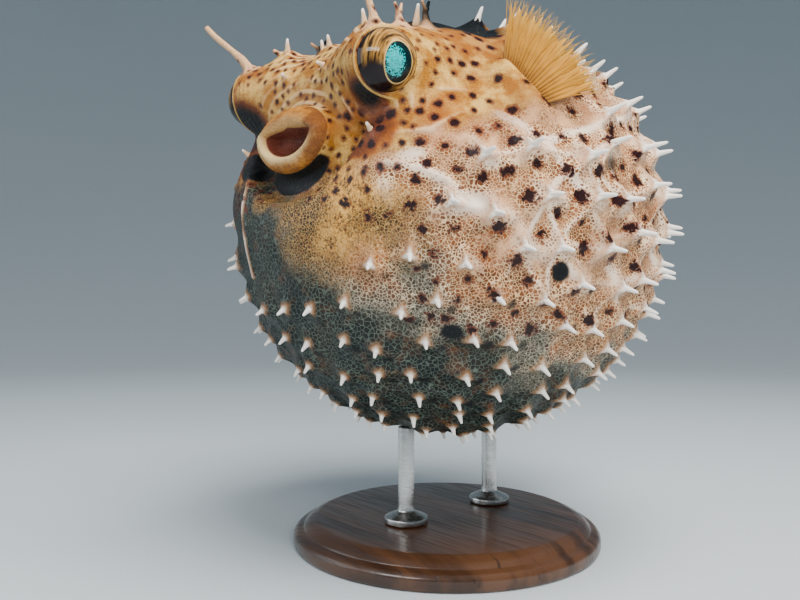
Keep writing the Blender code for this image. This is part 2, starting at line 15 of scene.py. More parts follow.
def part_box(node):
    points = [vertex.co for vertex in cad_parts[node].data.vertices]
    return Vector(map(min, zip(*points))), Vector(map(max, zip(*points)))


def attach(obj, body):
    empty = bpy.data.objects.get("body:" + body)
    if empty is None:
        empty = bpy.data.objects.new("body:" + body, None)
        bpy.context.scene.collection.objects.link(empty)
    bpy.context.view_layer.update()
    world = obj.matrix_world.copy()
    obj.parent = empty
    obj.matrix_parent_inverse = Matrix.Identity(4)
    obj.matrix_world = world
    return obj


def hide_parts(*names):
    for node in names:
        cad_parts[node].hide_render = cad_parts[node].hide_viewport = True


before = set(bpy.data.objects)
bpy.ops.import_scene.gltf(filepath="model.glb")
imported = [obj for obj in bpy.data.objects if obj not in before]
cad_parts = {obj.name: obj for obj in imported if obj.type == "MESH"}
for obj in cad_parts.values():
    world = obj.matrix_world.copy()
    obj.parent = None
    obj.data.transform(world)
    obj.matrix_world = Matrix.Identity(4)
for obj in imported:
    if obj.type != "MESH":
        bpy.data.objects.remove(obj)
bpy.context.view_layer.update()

# ---------------------------------------------------------------- Camera
# Level, a little below the fish's middle, and off its left cheek, so that the near eye looks
# almost into it and the far eye stands out past the snout.

BELLY = 0.072  # half the width of the blown-up belly
BALL_UP, BALL_DOWN = 0.93, 1.01  # height of the back and depth of the belly
BELLY_CLEARANCE = 0.030  # from the wooden foot's top to the belly
FISH_MIDDLE = Vector((0, 0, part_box("stand_base")[1][2] + BELLY_CLEARANCE + BALL_DOWN * BELLY))
CAMERA_TURN = math.radians(48.77)
CAMERA_DISTANCE, CAMERA_LEFT, CAMERA_BELOW = 3.853, 0.228, 0.366  # shares of the half width
FRAME_WIDE, FOCAL_LENGTH = 36, 34.75  # millimetres


def placed(name, data):
    """A new object in the scene."""
    made = bpy.data.objects.new(name, data)
    bpy.context.scene.collection.objects.link(made)
    return made


camera_back = Vector((math.sin(CAMERA_TURN), -math.cos(CAMERA_TURN), 0))
camera_right = Vector((math.cos(CAMERA_TURN), math.sin(CAMERA_TURN), 0))
upward = Vector((0, 0, 1))
lens = bpy.data.cameras.new("camera")
lens.sensor_width = FRAME_WIDE
lens.lens = FOCAL_LENGTH
lens.clip_start = 0.01
camera = placed("camera", lens)
camera.matrix_world = Matrix.Translation(
    FISH_MIDDLE
    + camera_back * CAMERA_DISTANCE * BELLY
    - camera_right * CAMERA_LEFT * BELLY
    - upward * CAMERA_BELOW * BELLY
) @ Matrix((camera_right, upward, camera_back)).transposed().to_4x4()
bpy.context.scene.camera = camera

# ---------------------------------------------------------------- Form of the skin
# The living fish gulps water until its belly is a ball, and the skin is drawn tight over it from
# the snout to the root of the tail. The form is one closed surface, the places where a rough
# distance to flesh is nothing, so that brow, lips, lids, feelers and tail flow into each other.

NOSE_DOWN, LEFT_DOWN = math.radians(7.5), math.radians(1.9)
BALL_LONG, BALL_WIDE = 1.015, 1.015
FACE_NORMAL, FACE_OFFSET = np.array((0.814, 0.0, 0.581)), 0.88
HEAD_MIDDLE, HEAD_SIZE = np.array((0.38, 0.0, 0.44)), np.array((0.37, 0.60, 0.42))
HEAD_SQUARENESS, HEAD_PITCH = 3.4, math.radians(14)
MUZZLE, MUZZLE_SIZE = np.array((0.66, 0.0, 0.41)), np.array((0.19, 0.31, 0.19))
BROW, BROW_SIZE = np.array((0.60, 0.34, 0.66)), np.array((0.22, 0.22, 0.165))
CHEEK, CHEEK_SIZE = np.array((0.52, 0.42, 0.15)), np.array((0.35, 0.35, 0.35))
MOUTH = np.array((0.866, 0.0, 0.425))
MOUTH_FACING = np.array((0.985, 0.0, 0.17)) / math.hypot(0.985, 0.17)
MOUTH_UP = np.array((-MOUTH_FACING[2], 0.0, MOUTH_FACING[0]))
LIPS_HALF_WIDE, LIPS_HALF_HIGH, LIPS_PROUD = 0.0182 / BELLY, 0.0102 / BELLY, 0.0046 / BELLY
GAPE_HALF_WIDE, GAPE_UP, GAPE_DOWN = 0.0117 / BELLY, 0.0014 / BELLY, 0.0062 / BELLY
GAPE_LEVEL = 0.0016 / BELLY  # the corners of the mouth above the middle of the lips
LIPS_CREST = 0.22  # how much nearer to the opening than to the rim the lips stand out most
CHIN_FOLD_REACH, CHIN_FOLD_DROP, CHIN_FOLD_RADIUS, CHIN_FOLD_DEPTH = 0.34, 0.18, 0.065, 0.05
FACE_BLEND, CHEEK_BLEND, FOREHEAD_BLEND, BROW_BLEND, MUZZLE_BLEND = 0.06, 0.10, 0.08, 0.08, 0.06
CHIN_FOLD_BLEND, CHIN_FOLD_NEAR = 0.05, 0.60
EYE = np.array((0.717, 0.43, 0.66))
EYE_AXIS = np.array((0.33, 0.94, 0.0)) / math.hypot(0.33, 0.94)
TURRET, EYEBALL, EYEBALL_PUSH = 0.144, 0.128, 0.045
TAIL_ROOT, TAIL_END = np.array((-0.86, 0.0, 0.22)), np.array((-1.42, -0.10, 0.25))
TAIL_ROOT_SIZE, TAIL_END_SIZE, TAIL_TAPER = (0.23, 0.26), (0.055, 0.105), 2.2
FAR = 9.0  # further off than any point of the fish
SEARCH_OUT, SEARCH_IN, SEARCH_STEPS, HALVINGS = 1.30, 0.62, 35, 12  # for the skin, along a line

fish_pose = (
    Matrix.Translation(FISH_MIDDLE)
    @ Matrix.Rotation(-math.pi / 2, 4, "Z")
    @ Matrix.Rotation(-LEFT_DOWN, 4, "X")
    @ Matrix.Rotation(NOSE_DOWN, 4, "Y")
)


def unit(vector):
    return np.asarray(vector) / np.linalg.norm(vector)


def lengths(vectors):
    return np.linalg.norm(vectors, axis=1)


def units(vectors):
    return vectors / lengths(vectors)[:, None]


def turns(count):
    """Angles spaced evenly round a circle."""
    return np.linspace(0, 2 * math.pi, count, endpoint=False)


SIDES = (("left", np.array((1, 1, 1))), ("right", np.array((1, -1, 1))))  # what turns left into each


def to_row(points):
    """Points of the fish's frame, in shares of the belly, as metres in the model's frame."""
    turn = np.array(fish_pose.to_3x3())
    return np.asarray(points) * BELLY @ turn.T + np.array(fish_pose.translation)


def mirrored(points):
    """Every point on the fish's left side, which both halves share."""
    return np.stack([points[:, 0], np.abs(points[:, 1]), points[:, 2]], 1)


def smooth_least(a, b, width):
    """The lesser of two distances, with the crease between them rounded over width."""
    mix = np.clip(0.5 + 0.5 * (b - a) / width, 0, 1)
    return b + (a - b) * mix - width * mix * (1 - mix)


def smooth_step(values, start, end):
    share = np.clip((values - start) / (end - start), 0, 1)
    return share * share * (3 - 2 * share)


def egg_distance(points, middle, size):
    return (lengths((points - middle) / size) - 1) * min(size)


def ball_distance(points):
    height = np.where(points[:, 2] > 0, BALL_UP, BALL_DOWN)
    shares = np.stack([points[:, 0] / BALL_LONG, points[:, 1] / BALL_WIDE, points[:, 2] / height], 1)
    return lengths(shares) - 1


def forehead_distance(points):
    """A rounded block that slopes down to the snout."""
    turned = points - HEAD_MIDDLE
    c, s = math.cos(HEAD_PITCH), math.sin(HEAD_PITCH)
    along, up = turned[:, 0] * c - turned[:, 2] * s, turned[:, 0] * s + turned[:, 2] * c
    shares = np.abs(np.stack([along, turned[:, 1], up], 1) / HEAD_SIZE)
    return ((shares**HEAD_SQUARENESS).sum(1) ** (1 / HEAD_SQUARENESS) - 1) * min(HEAD_SIZE)


def close_by(points, middle, reach, distance):
    """A distance worked out only within reach of a middle, and given as far beyond it."""
    found = np.full(len(points), FAR)
    close = np.flatnonzero(((points - middle) ** 2).sum(1) < reach**2)
    found[close] = distance(points[close])
    return found


def line_distance(points, line):
    """Distance to a line of a few points, each stretch of it straight."""
    nearest = np.full(len(points), FAR)
    for start, end in zip(line[:-1], line[1:]):
        along = end - start
        share = np.clip((points - start) @ along / (along @ along), 0, 1)
        gap = lengths(points - start - share[:, None] * along)
        nearest = np.minimum(nearest, gap)
    return nearest


def chin_fold_line():
    """The deep fold under the lower lip, from cheek to cheek, like a smile."""
    turn = np.radians(np.linspace(-88, 88, 17))
    side = CHIN_FOLD_REACH * np.sin(turn)
    level = MOUTH[2] - CHIN_FOLD_DROP * np.cos(turn)
    front = np.sqrt(1 - side**2 - (level / BALL_UP) ** 2)
    return np.stack([front, side, level], 1) * (1 - CHIN_FOLD_DEPTH)


chin_fold = chin_fold_line()


def chin_fold_distance(points):
    return line_distance(points, chin_fold) - CHIN_FOLD_RADIUS


def body_distance(points):
    """Rough distance to the skin of head and trunk, less than 0 inside."""
    left = mirrored(points)
    body = -smooth_least(-ball_distance(points), FACE_OFFSET - points @ FACE_NORMAL, FACE_BLEND)
    body = smooth_least(body, egg_distance(left, CHEEK, CHEEK_SIZE), CHEEK_BLEND)
    body = smooth_least(body, forehead_distance(points), FOREHEAD_BLEND)
    body = smooth_least(body, egg_distance(left, BROW, BROW_SIZE), BROW_BLEND)
    body = smooth_least(body, egg_distance(points, MUZZLE, MUZZLE_SIZE), MUZZLE_BLEND)
    fold = close_by(points, chin_fold[len(chin_fold) // 2], CHIN_FOLD_NEAR, chin_fold_distance)
    return -smooth_least(-body, fold, CHIN_FOLD_BLEND)


def body_radii(directions):
    """How far the skin lies from the middle in each direction: the outermost crossing."""
    outer, inner = np.full(len(directions), SEARCH_OUT), np.full(len(directions), SEARCH_IN)
    found = np.zeros(len(directions), bool)
    steps = np.linspace(SEARCH_OUT, SEARCH_IN, SEARCH_STEPS)
    for high, low in zip(steps[:-1], steps[1:]):
        inside = (body_distance(directions * low) < 0) & ~found
        outer[inside], inner[inside] = high, low
        found |= inside
    for _ in range(HALVINGS):
        middle = (outer + inner) / 2
        inside = body_distance(directions * middle[:, None]) < 0
        inner, outer = np.where(inside, middle, inner), np.where(inside, outer, middle)
    return (outer + inner) / 2


def on_skin(directions):
    """The points of the skin that lie in the given directions from the middle."""
    directions = np.atleast_2d(np.array(directions, float))
    directions = units(directions)
    return directions * body_radii(directions)[:, None]


def slopes(distance, points, step=0.004):
    """Which way a distance grows fastest at each point, not yet of length 1."""
    ways = step * np.eye(3)
    return np.stack([distance(points + w) - distance(points - w) for w in ways], 1) / (2 * step)


def skin_normals(points):
    return units(slopes(body_distance, points))


mouth_middle = on_skin(MOUTH)[0]


def mouth_places(points):
    """Each point's place on the lips: across, up, and forward of the snout's skin."""
    apart = points - mouth_middle
    return apart[:, 1], apart @ MOUTH_UP, apart @ MOUTH_FACING


def mouth_radii(across, up):
    """How far a point is from the mouth's middle, and how far the gape's edge and the lips' rim are
    in its direction."""
    turn = np.arctan2(up, across)
    wide, high = np.abs(np.cos(turn)), np.abs(np.sin(turn))
    gape = 1 / np.hypot(wide / GAPE_HALF_WIDE, high / np.where(up > 0, GAPE_UP, GAPE_DOWN))
    lift = np.where(up > 0, -GAPE_LEVEL, GAPE_LEVEL)
    rim = 1 / np.hypot(wide / LIPS_HALF_WIDE, high / (LIPS_HALF_HIGH + lift))
    return np.hypot(across, up), gape, rim


def gape_distance(points):
    """Distance to the edge of the half-moon opening, less than 0 inside it."""
    across, up, _ = mouth_places(points)
    out, gape, _ = mouth_radii(across, up - GAPE_LEVEL)
    return out - gape


def lips_distance(points):
    """A thick ring of flesh round the half-moon opening, highest near its inner edge."""
    across, up, forward = mouth_places(points)
    out, gape, rim = mouth_radii(across, up - GAPE_LEVEL)
    half_thick = (rim - gape) / 2
    share = (out - gape) / half_thick - 1
    share = share + LIPS_CREST * np.maximum(1 - share**2, 0)
    return (np.hypot(share, forward / LIPS_PROUD) - 1) * np.minimum(half_thick, LIPS_PROUD)


def tail_distance(points):
    """The tail's narrow root, which a blown-up burrfish can hardly use."""
    along = TAIL_END - TAIL_ROOT
    share = np.clip((points - TAIL_ROOT) @ along / (along @ along), 0, 1)
    slim = 1 - (1 - share) ** TAIL_TAPER
    wide = TAIL_ROOT_SIZE[0] + (TAIL_END_SIZE[0] - TAIL_ROOT_SIZE[0]) * slim
    high = TAIL_ROOT_SIZE[1] + (TAIL_END_SIZE[1] - TAIL_ROOT_SIZE[1]) * slim
    apart = points - TAIL_ROOT - share[:, None] * along
    past = np.abs(apart @ along) / np.linalg.norm(along)
    round_it = np.hypot(apart[:, 1] / wide, apart[:, 2] / high)
    return np.hypot(np.maximum(round_it - 1, 0) * wide, past) + np.minimum(round_it - 1, 0) * wide


def turrets_distance(points):
    return lengths(mirrored(points) - EYE) - TURRET


# Feelers of flesh, each a root, a lean, a length, the radius of its foot and of its tip, and how
# far it bends. The long pair stands on the brows, and the forked ones behind the eyes.
FEELER_STRETCHES, FEELER_TAPER = 6, 1.6
KNOB_RISE, KNOB_TURNS = 0.10, 23  # the low rings along a feeler


def feeler(root, lean, length, foot, tip, bend=0.014):
    """The points of a tapering finger of flesh, and its radius at each."""
    lean = unit(lean)
    across = np.cross(lean, (1.0, 0.0, 0.0))
    way = np.linspace(0, 1, FEELER_STRETCHES + 1)
    bends = bend * np.sin(way * math.pi * 1.6)
    line = np.array(root) + lean * (way * length)[:, None] + across * bends[:, None]
    knobs = 1 + KNOB_RISE * np.sin(way * KNOB_TURNS)
    return line, (tip + (foot - tip) * (1 - way) ** FEELER_TAPER) * knobs


def brow_root(side):
    lift = np.array((0.26, 0.0, 1.0)) / math.hypot(0.26, 1.0)
    return EYE * (1, side, 1) + lift * (TURRET - 0.05)


def forked_feeler(foot, lean, length, side):
    """A short stalk that ends in two or three fingers."""
    stalk, radii = feeler(foot, lean, length, 0.030, 0.014, 0.006)
    fingers = [(stalk, radii)]
    for spread, share in ((0.9, 0.60), (-0.7, 0.75)):
        out = np.array(lean) + np.array((spread, spread * side * 0.5, 0.1))
        fingers.append(feeler(stalk[-2], out, length * share, 0.013, 0.007, 0.004))
    return fingers


feelers = [
    feeler(brow_root(1), (0.06, 0.02, 1.0), 0.0150 / BELLY, 0.028, 0.010),
    feeler(brow_root(-1), (0.10, -0.26, 0.31), 0.0285 / BELLY, 0.028, 0.010),
]
for side in (1, -1):
    for foot, lean, length in (
        ((0.60, 0.42, 0.79), (-0.10, 0.05, 1.0), 0.088),
        ((0.41, 0.37, 0.82), (-0.12, 0.10, 1.0), 0.096),
    ):
        swap = np.array((1, side, 1))
        feelers += forked_feeler(np.array(foot) * swap, np.array(lean) * swap, length, side)


def feelers_distance(points):
    nearest = np.full(len(points), FAR)
    for line, radii in feelers:
        reach = np.linalg.norm(line[-1] - line[0]) / 2 + 0.10
        close = lengths(points - (line[0] + line[-1]) / 2) < reach
        here = points[close]
        gap = np.full(len(here), FAR)
        for start, end, first, last in zip(line[:-1], line[1:], radii[:-1], radii[1:]):
            along = end - start
            share = np.clip((here - start) @ along / (along @ along), 0, 1)
            apart = lengths(here - start - share[:, None] * along)
            gap = np.minimum(gap, apart - first - (last - first) * share)
        nearest[close] = np.minimum(nearest[close], gap)
    return nearest


# The fleshy lobes that the fins' rays spring from: middle of the root and half its length.
PECTORAL, DORSAL, ANAL = (0.32, 0.82, 0.57), (-0.80, 0.0, 0.64), (-0.93, 0.0, -0.20)
PECTORAL_ROOT_LINE = np.array((0.131, -0.600, 0.789)) * 0.0078 / BELLY
MEDIAN_HALF_ROOT = 0.0068 / BELLY
LOBE_RADIUS, LOBE_SUNK = 0.050, 0.022


def median_root_line(root):
    """Half a back or belly fin's root, forward along the skin."""
    along = unit(np.cross((0.0, 1.0, 0.0), skin_normals(root[None])[0]))
    return along * MEDIAN_HALF_ROOT * math.copysign(1, along[0])


fin_roots = {}
for word, swap in SIDES:
    fin_roots[f"pectoral_fin_{word}"] = (on_skin(np.array(PECTORAL) * swap)[0], PECTORAL_ROOT_LINE * swap)
for name, way in (("dorsal_fin", DORSAL), ("anal_fin", ANAL)):
    root = on_skin(way)[0]
    fin_roots[name] = (root, median_root_line(root))


def lobes_distance(points):
    nearest = np.full(len(points), FAR)
    for root, half in fin_roots.values():
        inward = skin_normals(root[None])[0] * LOBE_SUNK
        line = np.stack([root - half - inward, root + half - inward])
        gap = close_by(points, root, LOBE_NEAR, lambda here: line_distance(here, line))
        nearest = np.minimum(nearest, gap - LOBE_RADIUS)
    return nearest


HOLLOW_FRONT, HOLLOW_DEEP = 0.6 * LIPS_PROUD, 0.090
TURRET_BLEND, TAIL_BLEND, LOBE_BLEND, FEELER_BLEND = 0.035, 0.12, 0.05, 0.035
LIPS_BLEND, HOLLOW_BLEND, MOUTH_NEAR, TAIL_NEAR, LOBE_NEAR = 0.030, 0.012, 0.45, 0.8, 0.45


def hollow_distance(points):
    """The mouth's hollow, as wide as the opening and rounded at its end."""
    across, up, forward = mouth_places(points)
    out, gape, _ = mouth_radii(across, up - GAPE_LEVEL)
    round_it = np.hypot(out / gape, (forward - HOLLOW_FRONT) / HOLLOW_DEEP)
    return (round_it - 1) * np.minimum(gape, HOLLOW_DEEP)


def skin_distance(points):
    skin = smooth_least(body_distance(points), turrets_distance(points), TURRET_BLEND)
    tail = close_by(points, (TAIL_ROOT + TAIL_END) / 2, TAIL_NEAR, tail_distance)
    skin = smooth_least(skin, tail, TAIL_BLEND)
    skin = smooth_least(skin, lobes_distance(points), LOBE_BLEND)
    skin = smooth_least(skin, feelers_distance(points), FEELER_BLEND)
    skin = smooth_least(skin, close_by(points, mouth_middle, MOUTH_NEAR, lips_distance), LIPS_BLEND)
    hollow = close_by(points, mouth_middle, MOUTH_NEAR, hollow_distance)
    return -smooth_least(-skin, hollow, HOLLOW_BLEND)


def quad_sphere(cells):
    """A cube's six faces of cells by cells squares, blown up to a ball of nearly equal squares."""
    ramp = np.tan(np.linspace(-math.pi / 4, math.pi / 4, cells + 1))
    first, second = (grid.ravel() for grid in np.meshgrid(ramp, ramp, indexing="ij"))
    count = (cells + 1) ** 2
    corner = (np.arange(cells)[:, None] * (cells + 1) + np.arange(cells)).ravel()
    square = np.stack([corner, corner + cells + 1, corner + cells + 2, corner + 1], 1)
    points, faces = [], []
    for axis in range(3):
        for side in (-1.0, 1.0):
            place = np.empty((count, 3))
            place[:, axis], place[:, (axis + 1) % 3], place[:, (axis + 2) % 3] = side, first, second
            faces.append((square if side > 0 else square[:, ::-1]) + count * len(points))
            points.append(place)
    points, same = np.unique(np.concatenate(points).round(6), axis=0, return_inverse=True)
    faces = same.ravel()[np.concatenate(faces)]
    return units(points), faces


def loft(rings):
    """A closed skin over rings of points, its ends closed by fans."""
    count, around = len(rings), len(rings[0])
    points = np.concatenate([*rings, [rings[0].mean(0), rings[-1].mean(0)]])
    step = np.arange(around)
    after = (step + 1) % around
    faces = [(r * around + a, r * around + b, r * around + b + around, r * around + a + around)
             for r in range(count - 1) for a, b in zip(step, after)]
    last = (count - 1) * around
    faces += [(count * around, b, a) for a, b in zip(step, after)]
    faces += [(count * around + 1, last + a, last + b) for a, b in zip(step, after)]
    return points, faces


def round_rings(line, radii, around):
    """Circles along a line, square to it."""
    line = np.asarray(line, float)
    ways = units(np.gradient(line, axis=0))
    aside = units(np.cross(ways, (0.31, 0.57, 0.76)))
    upright = np.cross(ways, aside)
    turn = turns(around)
    return [
        p + r * (np.outer(np.cos(turn), a) + np.outer(np.sin(turn), u))
        for p, r, a, u in zip(line, radii, aside, upright)
    ]


def joined(parts):
    """Several lots of points and faces as one."""
    points, faces, before = [], [], 0
    for some, their_faces in parts:
        points.append(some)
        faces += [tuple(int(v) + before for v in face) for face in their_faces]
        before += len(some)
    return np.concatenate(points), faces


CORE_PROUD = 0.004  # how far the rough core stands out past the skin
CORE_LIPS_WIDE, CORE_LIPS_HIGH, CORE_LIPS_THICK, CORE_LIPS_DEEP = 0.204, 0.098, 0.036, 0.070
LEAST_STEEP, LONGEST_STEP = 0.09, 0.03
RELAXING = 0.6


def lips_core():
    """A thick ring where the lips will be."""
    rings = []
    roll = turns(12)
    for turn in turns(40):
        out = np.array((0, math.cos(turn), 0)) + MOUTH_UP * math.sin(turn)
        middle = mouth_middle + np.array((0, 1, 0)) * CORE_LIPS_WIDE * math.cos(turn)
        middle = middle + MOUTH_UP * CORE_LIPS_HIGH * math.sin(turn)
        section = np.outer(np.cos(roll) * CORE_LIPS_THICK, out)
        section = section + np.outer(np.sin(roll) * CORE_LIPS_DEEP, MOUTH_FACING)
        rings.append(middle + section)
    count, around = len(rings), len(roll)
    faces = [
        (a * around + b, a * around + (b + 1) % around,
         (a + 1) % count * around + (b + 1) % around, (a + 1) % count * around + b)
        for a in range(count) for b in range(around)
    ]
    return np.concatenate(rings), faces


def mesh_from(name, points, faces):
    mesh = bpy.data.meshes.new(name)
    mesh.from_pydata(np.asarray(points).tolist(), [], [tuple(map(int, f)) for f in faces])
    mesh.shade_smooth()
    return mesh


def add_piece(name, points, faces, material, slot):
    """A smooth piece, from points in metres of the model's frame, that rides on the one body."""
    piece = placed(name, mesh_from(name, points, faces))
    piece.data.materials.append(material)
    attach(piece, "root")
    return piece


def keep(piece, **kept):
    """Numbers kept with a piece's points, for its paint to read."""
    for name, values in kept.items():
        made = piece.data.attributes.new(name, "FLOAT", "POINT")
        made.data.foreach_set("value", values.astype(np.float32))


def rough_core():
    """Balls and tubes that overlap where the flesh will be, a little too large."""
    ways, faces = quad_sphere(44)
    parts = [(ways * (body_radii(ways) + CORE_PROUD)[:, None], faces)]
    ways, faces = quad_sphere(14)
    parts += [(EYE * swap + ways * (TURRET + CORE_PROUD), faces) for _, swap in SIDES]
    way = np.linspace(0, 1, 9)
    slim = 1 - (1 - way) ** TAIL_TAPER
    rings = []
    turn = turns(24)
    for share, thin in zip(way, slim):
        wide, high = np.array(TAIL_ROOT_SIZE) * (1 - thin) + np.array(TAIL_END_SIZE) * thin
        ring = np.stack([0 * turn, np.cos(turn) * wide, np.sin(turn) * high], 1)
        rings.append(TAIL_ROOT + (TAIL_END - TAIL_ROOT) * share + ring)
    parts.append(loft(rings))
    parts += [loft(round_rings(line, radii + CORE_PROUD, 10)) for line, radii in feelers]
    parts.append(lips_core())
    return joined(parts)


def fused(points, faces, voxel):
    """One closed skin round overlapping shells."""
    core = placed("core", mesh_from("core", points, faces))
    remesh = core.modifiers.new("fuse", "REMESH")
    remesh.mode = "VOXEL"
    remesh.voxel_size = voxel
    whole = core.evaluated_get(bpy.context.evaluated_depsgraph_get()).to_mesh()
    points = np.empty(len(whole.vertices) * 3)
    whole.vertices.foreach_get("co", points)
    corners = np.empty(len(whole.loops), np.int32)
    whole.loops.foreach_get("vertex_index", corners)
    core.evaluated_get(bpy.context.evaluated_depsgraph_get()).to_mesh_clear()
    bpy.data.objects.remove(core)
    return points.reshape(-1, 3), corners.reshape(-1, 4)


def drawn_to_skin(points, distance, rounds):
    """Points moved along the slope of a distance until it is nothing."""
    for _ in range(rounds):
        slope = slopes(distance, points)
        steep = np.maximum((slope**2).sum(1), LEAST_STEEP)
        step = np.clip(distance(points) / steep, -LONGEST_STEP, LONGEST_STEP)
        points = points - slope * step[:, None]
    return points


def relaxed(points, faces, rounds):
    """Points moved to the middle of their neighbours."""
    start, end = faces.ravel(), np.roll(faces, -1, axis=1).ravel()
    count = np.bincount(start, minlength=len(points))[:, None]
    for _ in range(rounds):
        total = np.stack([np.bincount(start, points[end, k], len(points)) for k in range(3)], 1)
        points = points * (1 - RELAXING) + RELAXING * total / count
    return points


SKIN_VOXEL = 0.00046 / BELLY
points, faces = fused(*rough_core(), SKIN_VOXEL)
points = drawn_to_skin(points, skin_distance, 3)
points = relaxed(points, faces, 3)
points = drawn_to_skin(points, skin_distance, 2)

# ---------------------------------------------------------------- Relief of the skin
# Each spine is a bone with three roots that stands up under the skin and tents it. Between the
# spines the skin hangs in shallow hollows. Brow, lids and lips are creased, as they slide over
# each other when the fish blows itself up.

BELLY_SPACING, BACK_SPACING = 0.0110 / BELLY, 0.0168 / BELLY
ROW_WANDER, ROW_CLOSENESS = 0.14, 0.92  # shares of the spacing
WANDER_ALONG, WANDER_UP = (2.4, 1.7), (3.9, 2.3)  # how it changes with a spine's number and its row
LOWEST_ROW, HIGHEST_ROW = math.radians(-83), math.radians(84)
SPINE_LENGTH, BELLY_SHORTENING = 0.0078 / BELLY, 0.50
SPINE_LEAN = np.array((-0.24, 0.0, -0.10))
HEAD_SPINES = (  # direction from the middle, and length, of the spines of brow and cheek
    (0.62, 0.00, 0.80, 0.0050),
    (0.62, 0.27, 0.78, 0.0065),
    (0.42, 0.33, 0.86, 0.0070),
    (0.74, 0.14, 0.68, 0.0032),
    (0.80, 0.45, 0.40, 0.0036),
)
NECK, NECK_OFFSET, NECK_CLEAR = np.array((0.78, 0.0, 0.62)) / math.hypot(0.78, 0.62), 0.775, 0.085
BARE_THROAT, BARE_LID, BARE_PECTORAL = 0.50, 0.07, 0.20  # how far round each the skin has no spines
BARE_TAIL, BARE_MEDIAN, BARE_ROD = 0.33, 0.17, 0.13
ROD_PLACES = (-0.019, 0.023)  # where the stand's rods meet the belly, along Y
TENT_REACH, TENT_HEIGHT = 0.19, 0.52  # the height as a share of the spine's length
TENT_NARROW, TENT_WIDE = 0.024, 0.062  # how slowly it falls off between and along the roots
SAG = 0.015
TIGHT_REACH, TIGHT_WIDTH, TIGHT_RISE = 0.27, 0.030, 0.007


def wander(points, size):
    """A slow, smooth unevenness between -1 and 1."""
    x, y, z = (points / size).T
    return (np.sin(x + 1.7 * np.sin(y + 0.3)) + np.sin(y * 1.1 + 1.3 * np.sin(z * 0.9 + 1.0))
            + np.sin(z * 1.2 + 1.5 * np.sin(x * 0.8 + 2.0))) / 3


def row_directions():
    """Directions of staggered rows of spines, level by level from the belly to the back."""
    directions, level, row = [], LOWEST_ROW, 0
    while level < HIGHEST_ROW:
        height = (math.sin(level) + 1) / 2
        spacing = BELLY_SPACING + (BACK_SPACING - BELLY_SPACING) * height
        count = round(2 * math.pi * math.cos(level) / spacing)
        for number in range(count):
            astray = ROW_WANDER * math.sin(WANDER_ALONG[0] * number + WANDER_ALONG[1] * row)
            sway = math.sin(WANDER_UP[0] * number + WANDER_UP[1] * row)
            above = level + spacing * ROW_WANDER * sway
            turn = 2 * math.pi * (number + 0.5 * (row % 2) + astray) / count
            flat = math.cos(above)
            directions.append((flat * math.cos(turn), flat * math.sin(turn), math.sin(above)))
        level += spacing * ROW_CLOSENESS
        row += 1
    return directions


def spine_allowed(feet):
    """False on head and throat, at fin and tail roots, and over the rods."""

    def apart(place):
        return lengths(feet - place)

    allowed = feet @ NECK < NECK_OFFSET - NECK_CLEAR
    allowed &= apart(mouth_middle) > BARE_THROAT
    for word, swap in SIDES:
        allowed &= apart(EYE * swap) > TURRET + BARE_LID
        allowed &= apart(fin_roots[f"pectoral_fin_{word}"][0]) > BARE_PECTORAL
    allowed &= (np.hypot(feet[:, 1], feet[:, 2] - TAIL_ROOT[2]) > BARE_TAIL) | (feet[:, 0] > 0)
    for name in ("dorsal_fin", "anal_fin"):
        allowed &= apart(fin_roots[name][0]) > BARE_MEDIAN
    for along in ROD_PLACES:
        off_rod = np.hypot(feet[:, 0] + along / BELLY, feet[:, 1]) > BARE_ROD
        allowed &= off_rod | (feet[:, 2] > 0)
    return allowed


def spine_sites():
    """Each spine's foot, the way it points, the skin's outward direction there, and its length."""
    feet = on_skin(row_directions())
    feet = feet[spine_allowed(feet)]
    lower_front = np.clip(0.6 * feet[:, 0] - 0.8 * feet[:, 2], 0, 1)
    length = SPINE_LENGTH * (1 - BELLY_SHORTENING * lower_front)
    for x, y, z, long in HEAD_SPINES:
        for side in (1, -1) if y else (1,):
            feet = np.vstack([feet, on_skin((x, side * y, z))])
            length = np.append(length, long / BELLY)
    outward = skin_normals(feet)
    way = outward + SPINE_LEAN - outward * (outward @ SPINE_LEAN)[:, None]
    return feet, units(way), outward, length


spine_feet, spine_ways, spine_outwards, spine_lengths = spine_sites()


def leaning(way, outward):
    """The direction along the skin in which a spine leans."""
    return unit(way - outward * (way @ outward))


def tight_lines(points):
    """How near each point is to a line along which the skin is drawn tight between two spines."""
    tight = np.zeros(len(points))
    for number, foot in enumerate(spine_feet):
        gaps = lengths(spine_feet - foot)
        for other in np.flatnonzero((gaps < TIGHT_REACH) & (np.arange(len(gaps)) > number)):
            if math.sin(number * 12.9 + other * 7.3) < 0.0:
                continue
            middle = (foot + spine_feet[other]) / 2
            close = np.flatnonzero(((points - middle) ** 2).sum(1) < (gaps[other] / 2 + 0.04) ** 2)
            here = points[close] + 0.012 * wander(points[close], 0.06)[:, None]
            along = spine_feet[other] - foot
            share = np.clip((here - foot) @ along / (along @ along), 0, 1)
            apart = here - foot - share[:, None] * along
            apart -= middle * (apart @ middle)[:, None] / (middle @ middle)
            width = TIGHT_WIDTH * (1.5 - np.sin(share * math.pi))
            ridge = np.exp(-(lengths(apart) / width) ** 2)
            tight[close] = np.maximum(tight[close], ridge)
    return tight


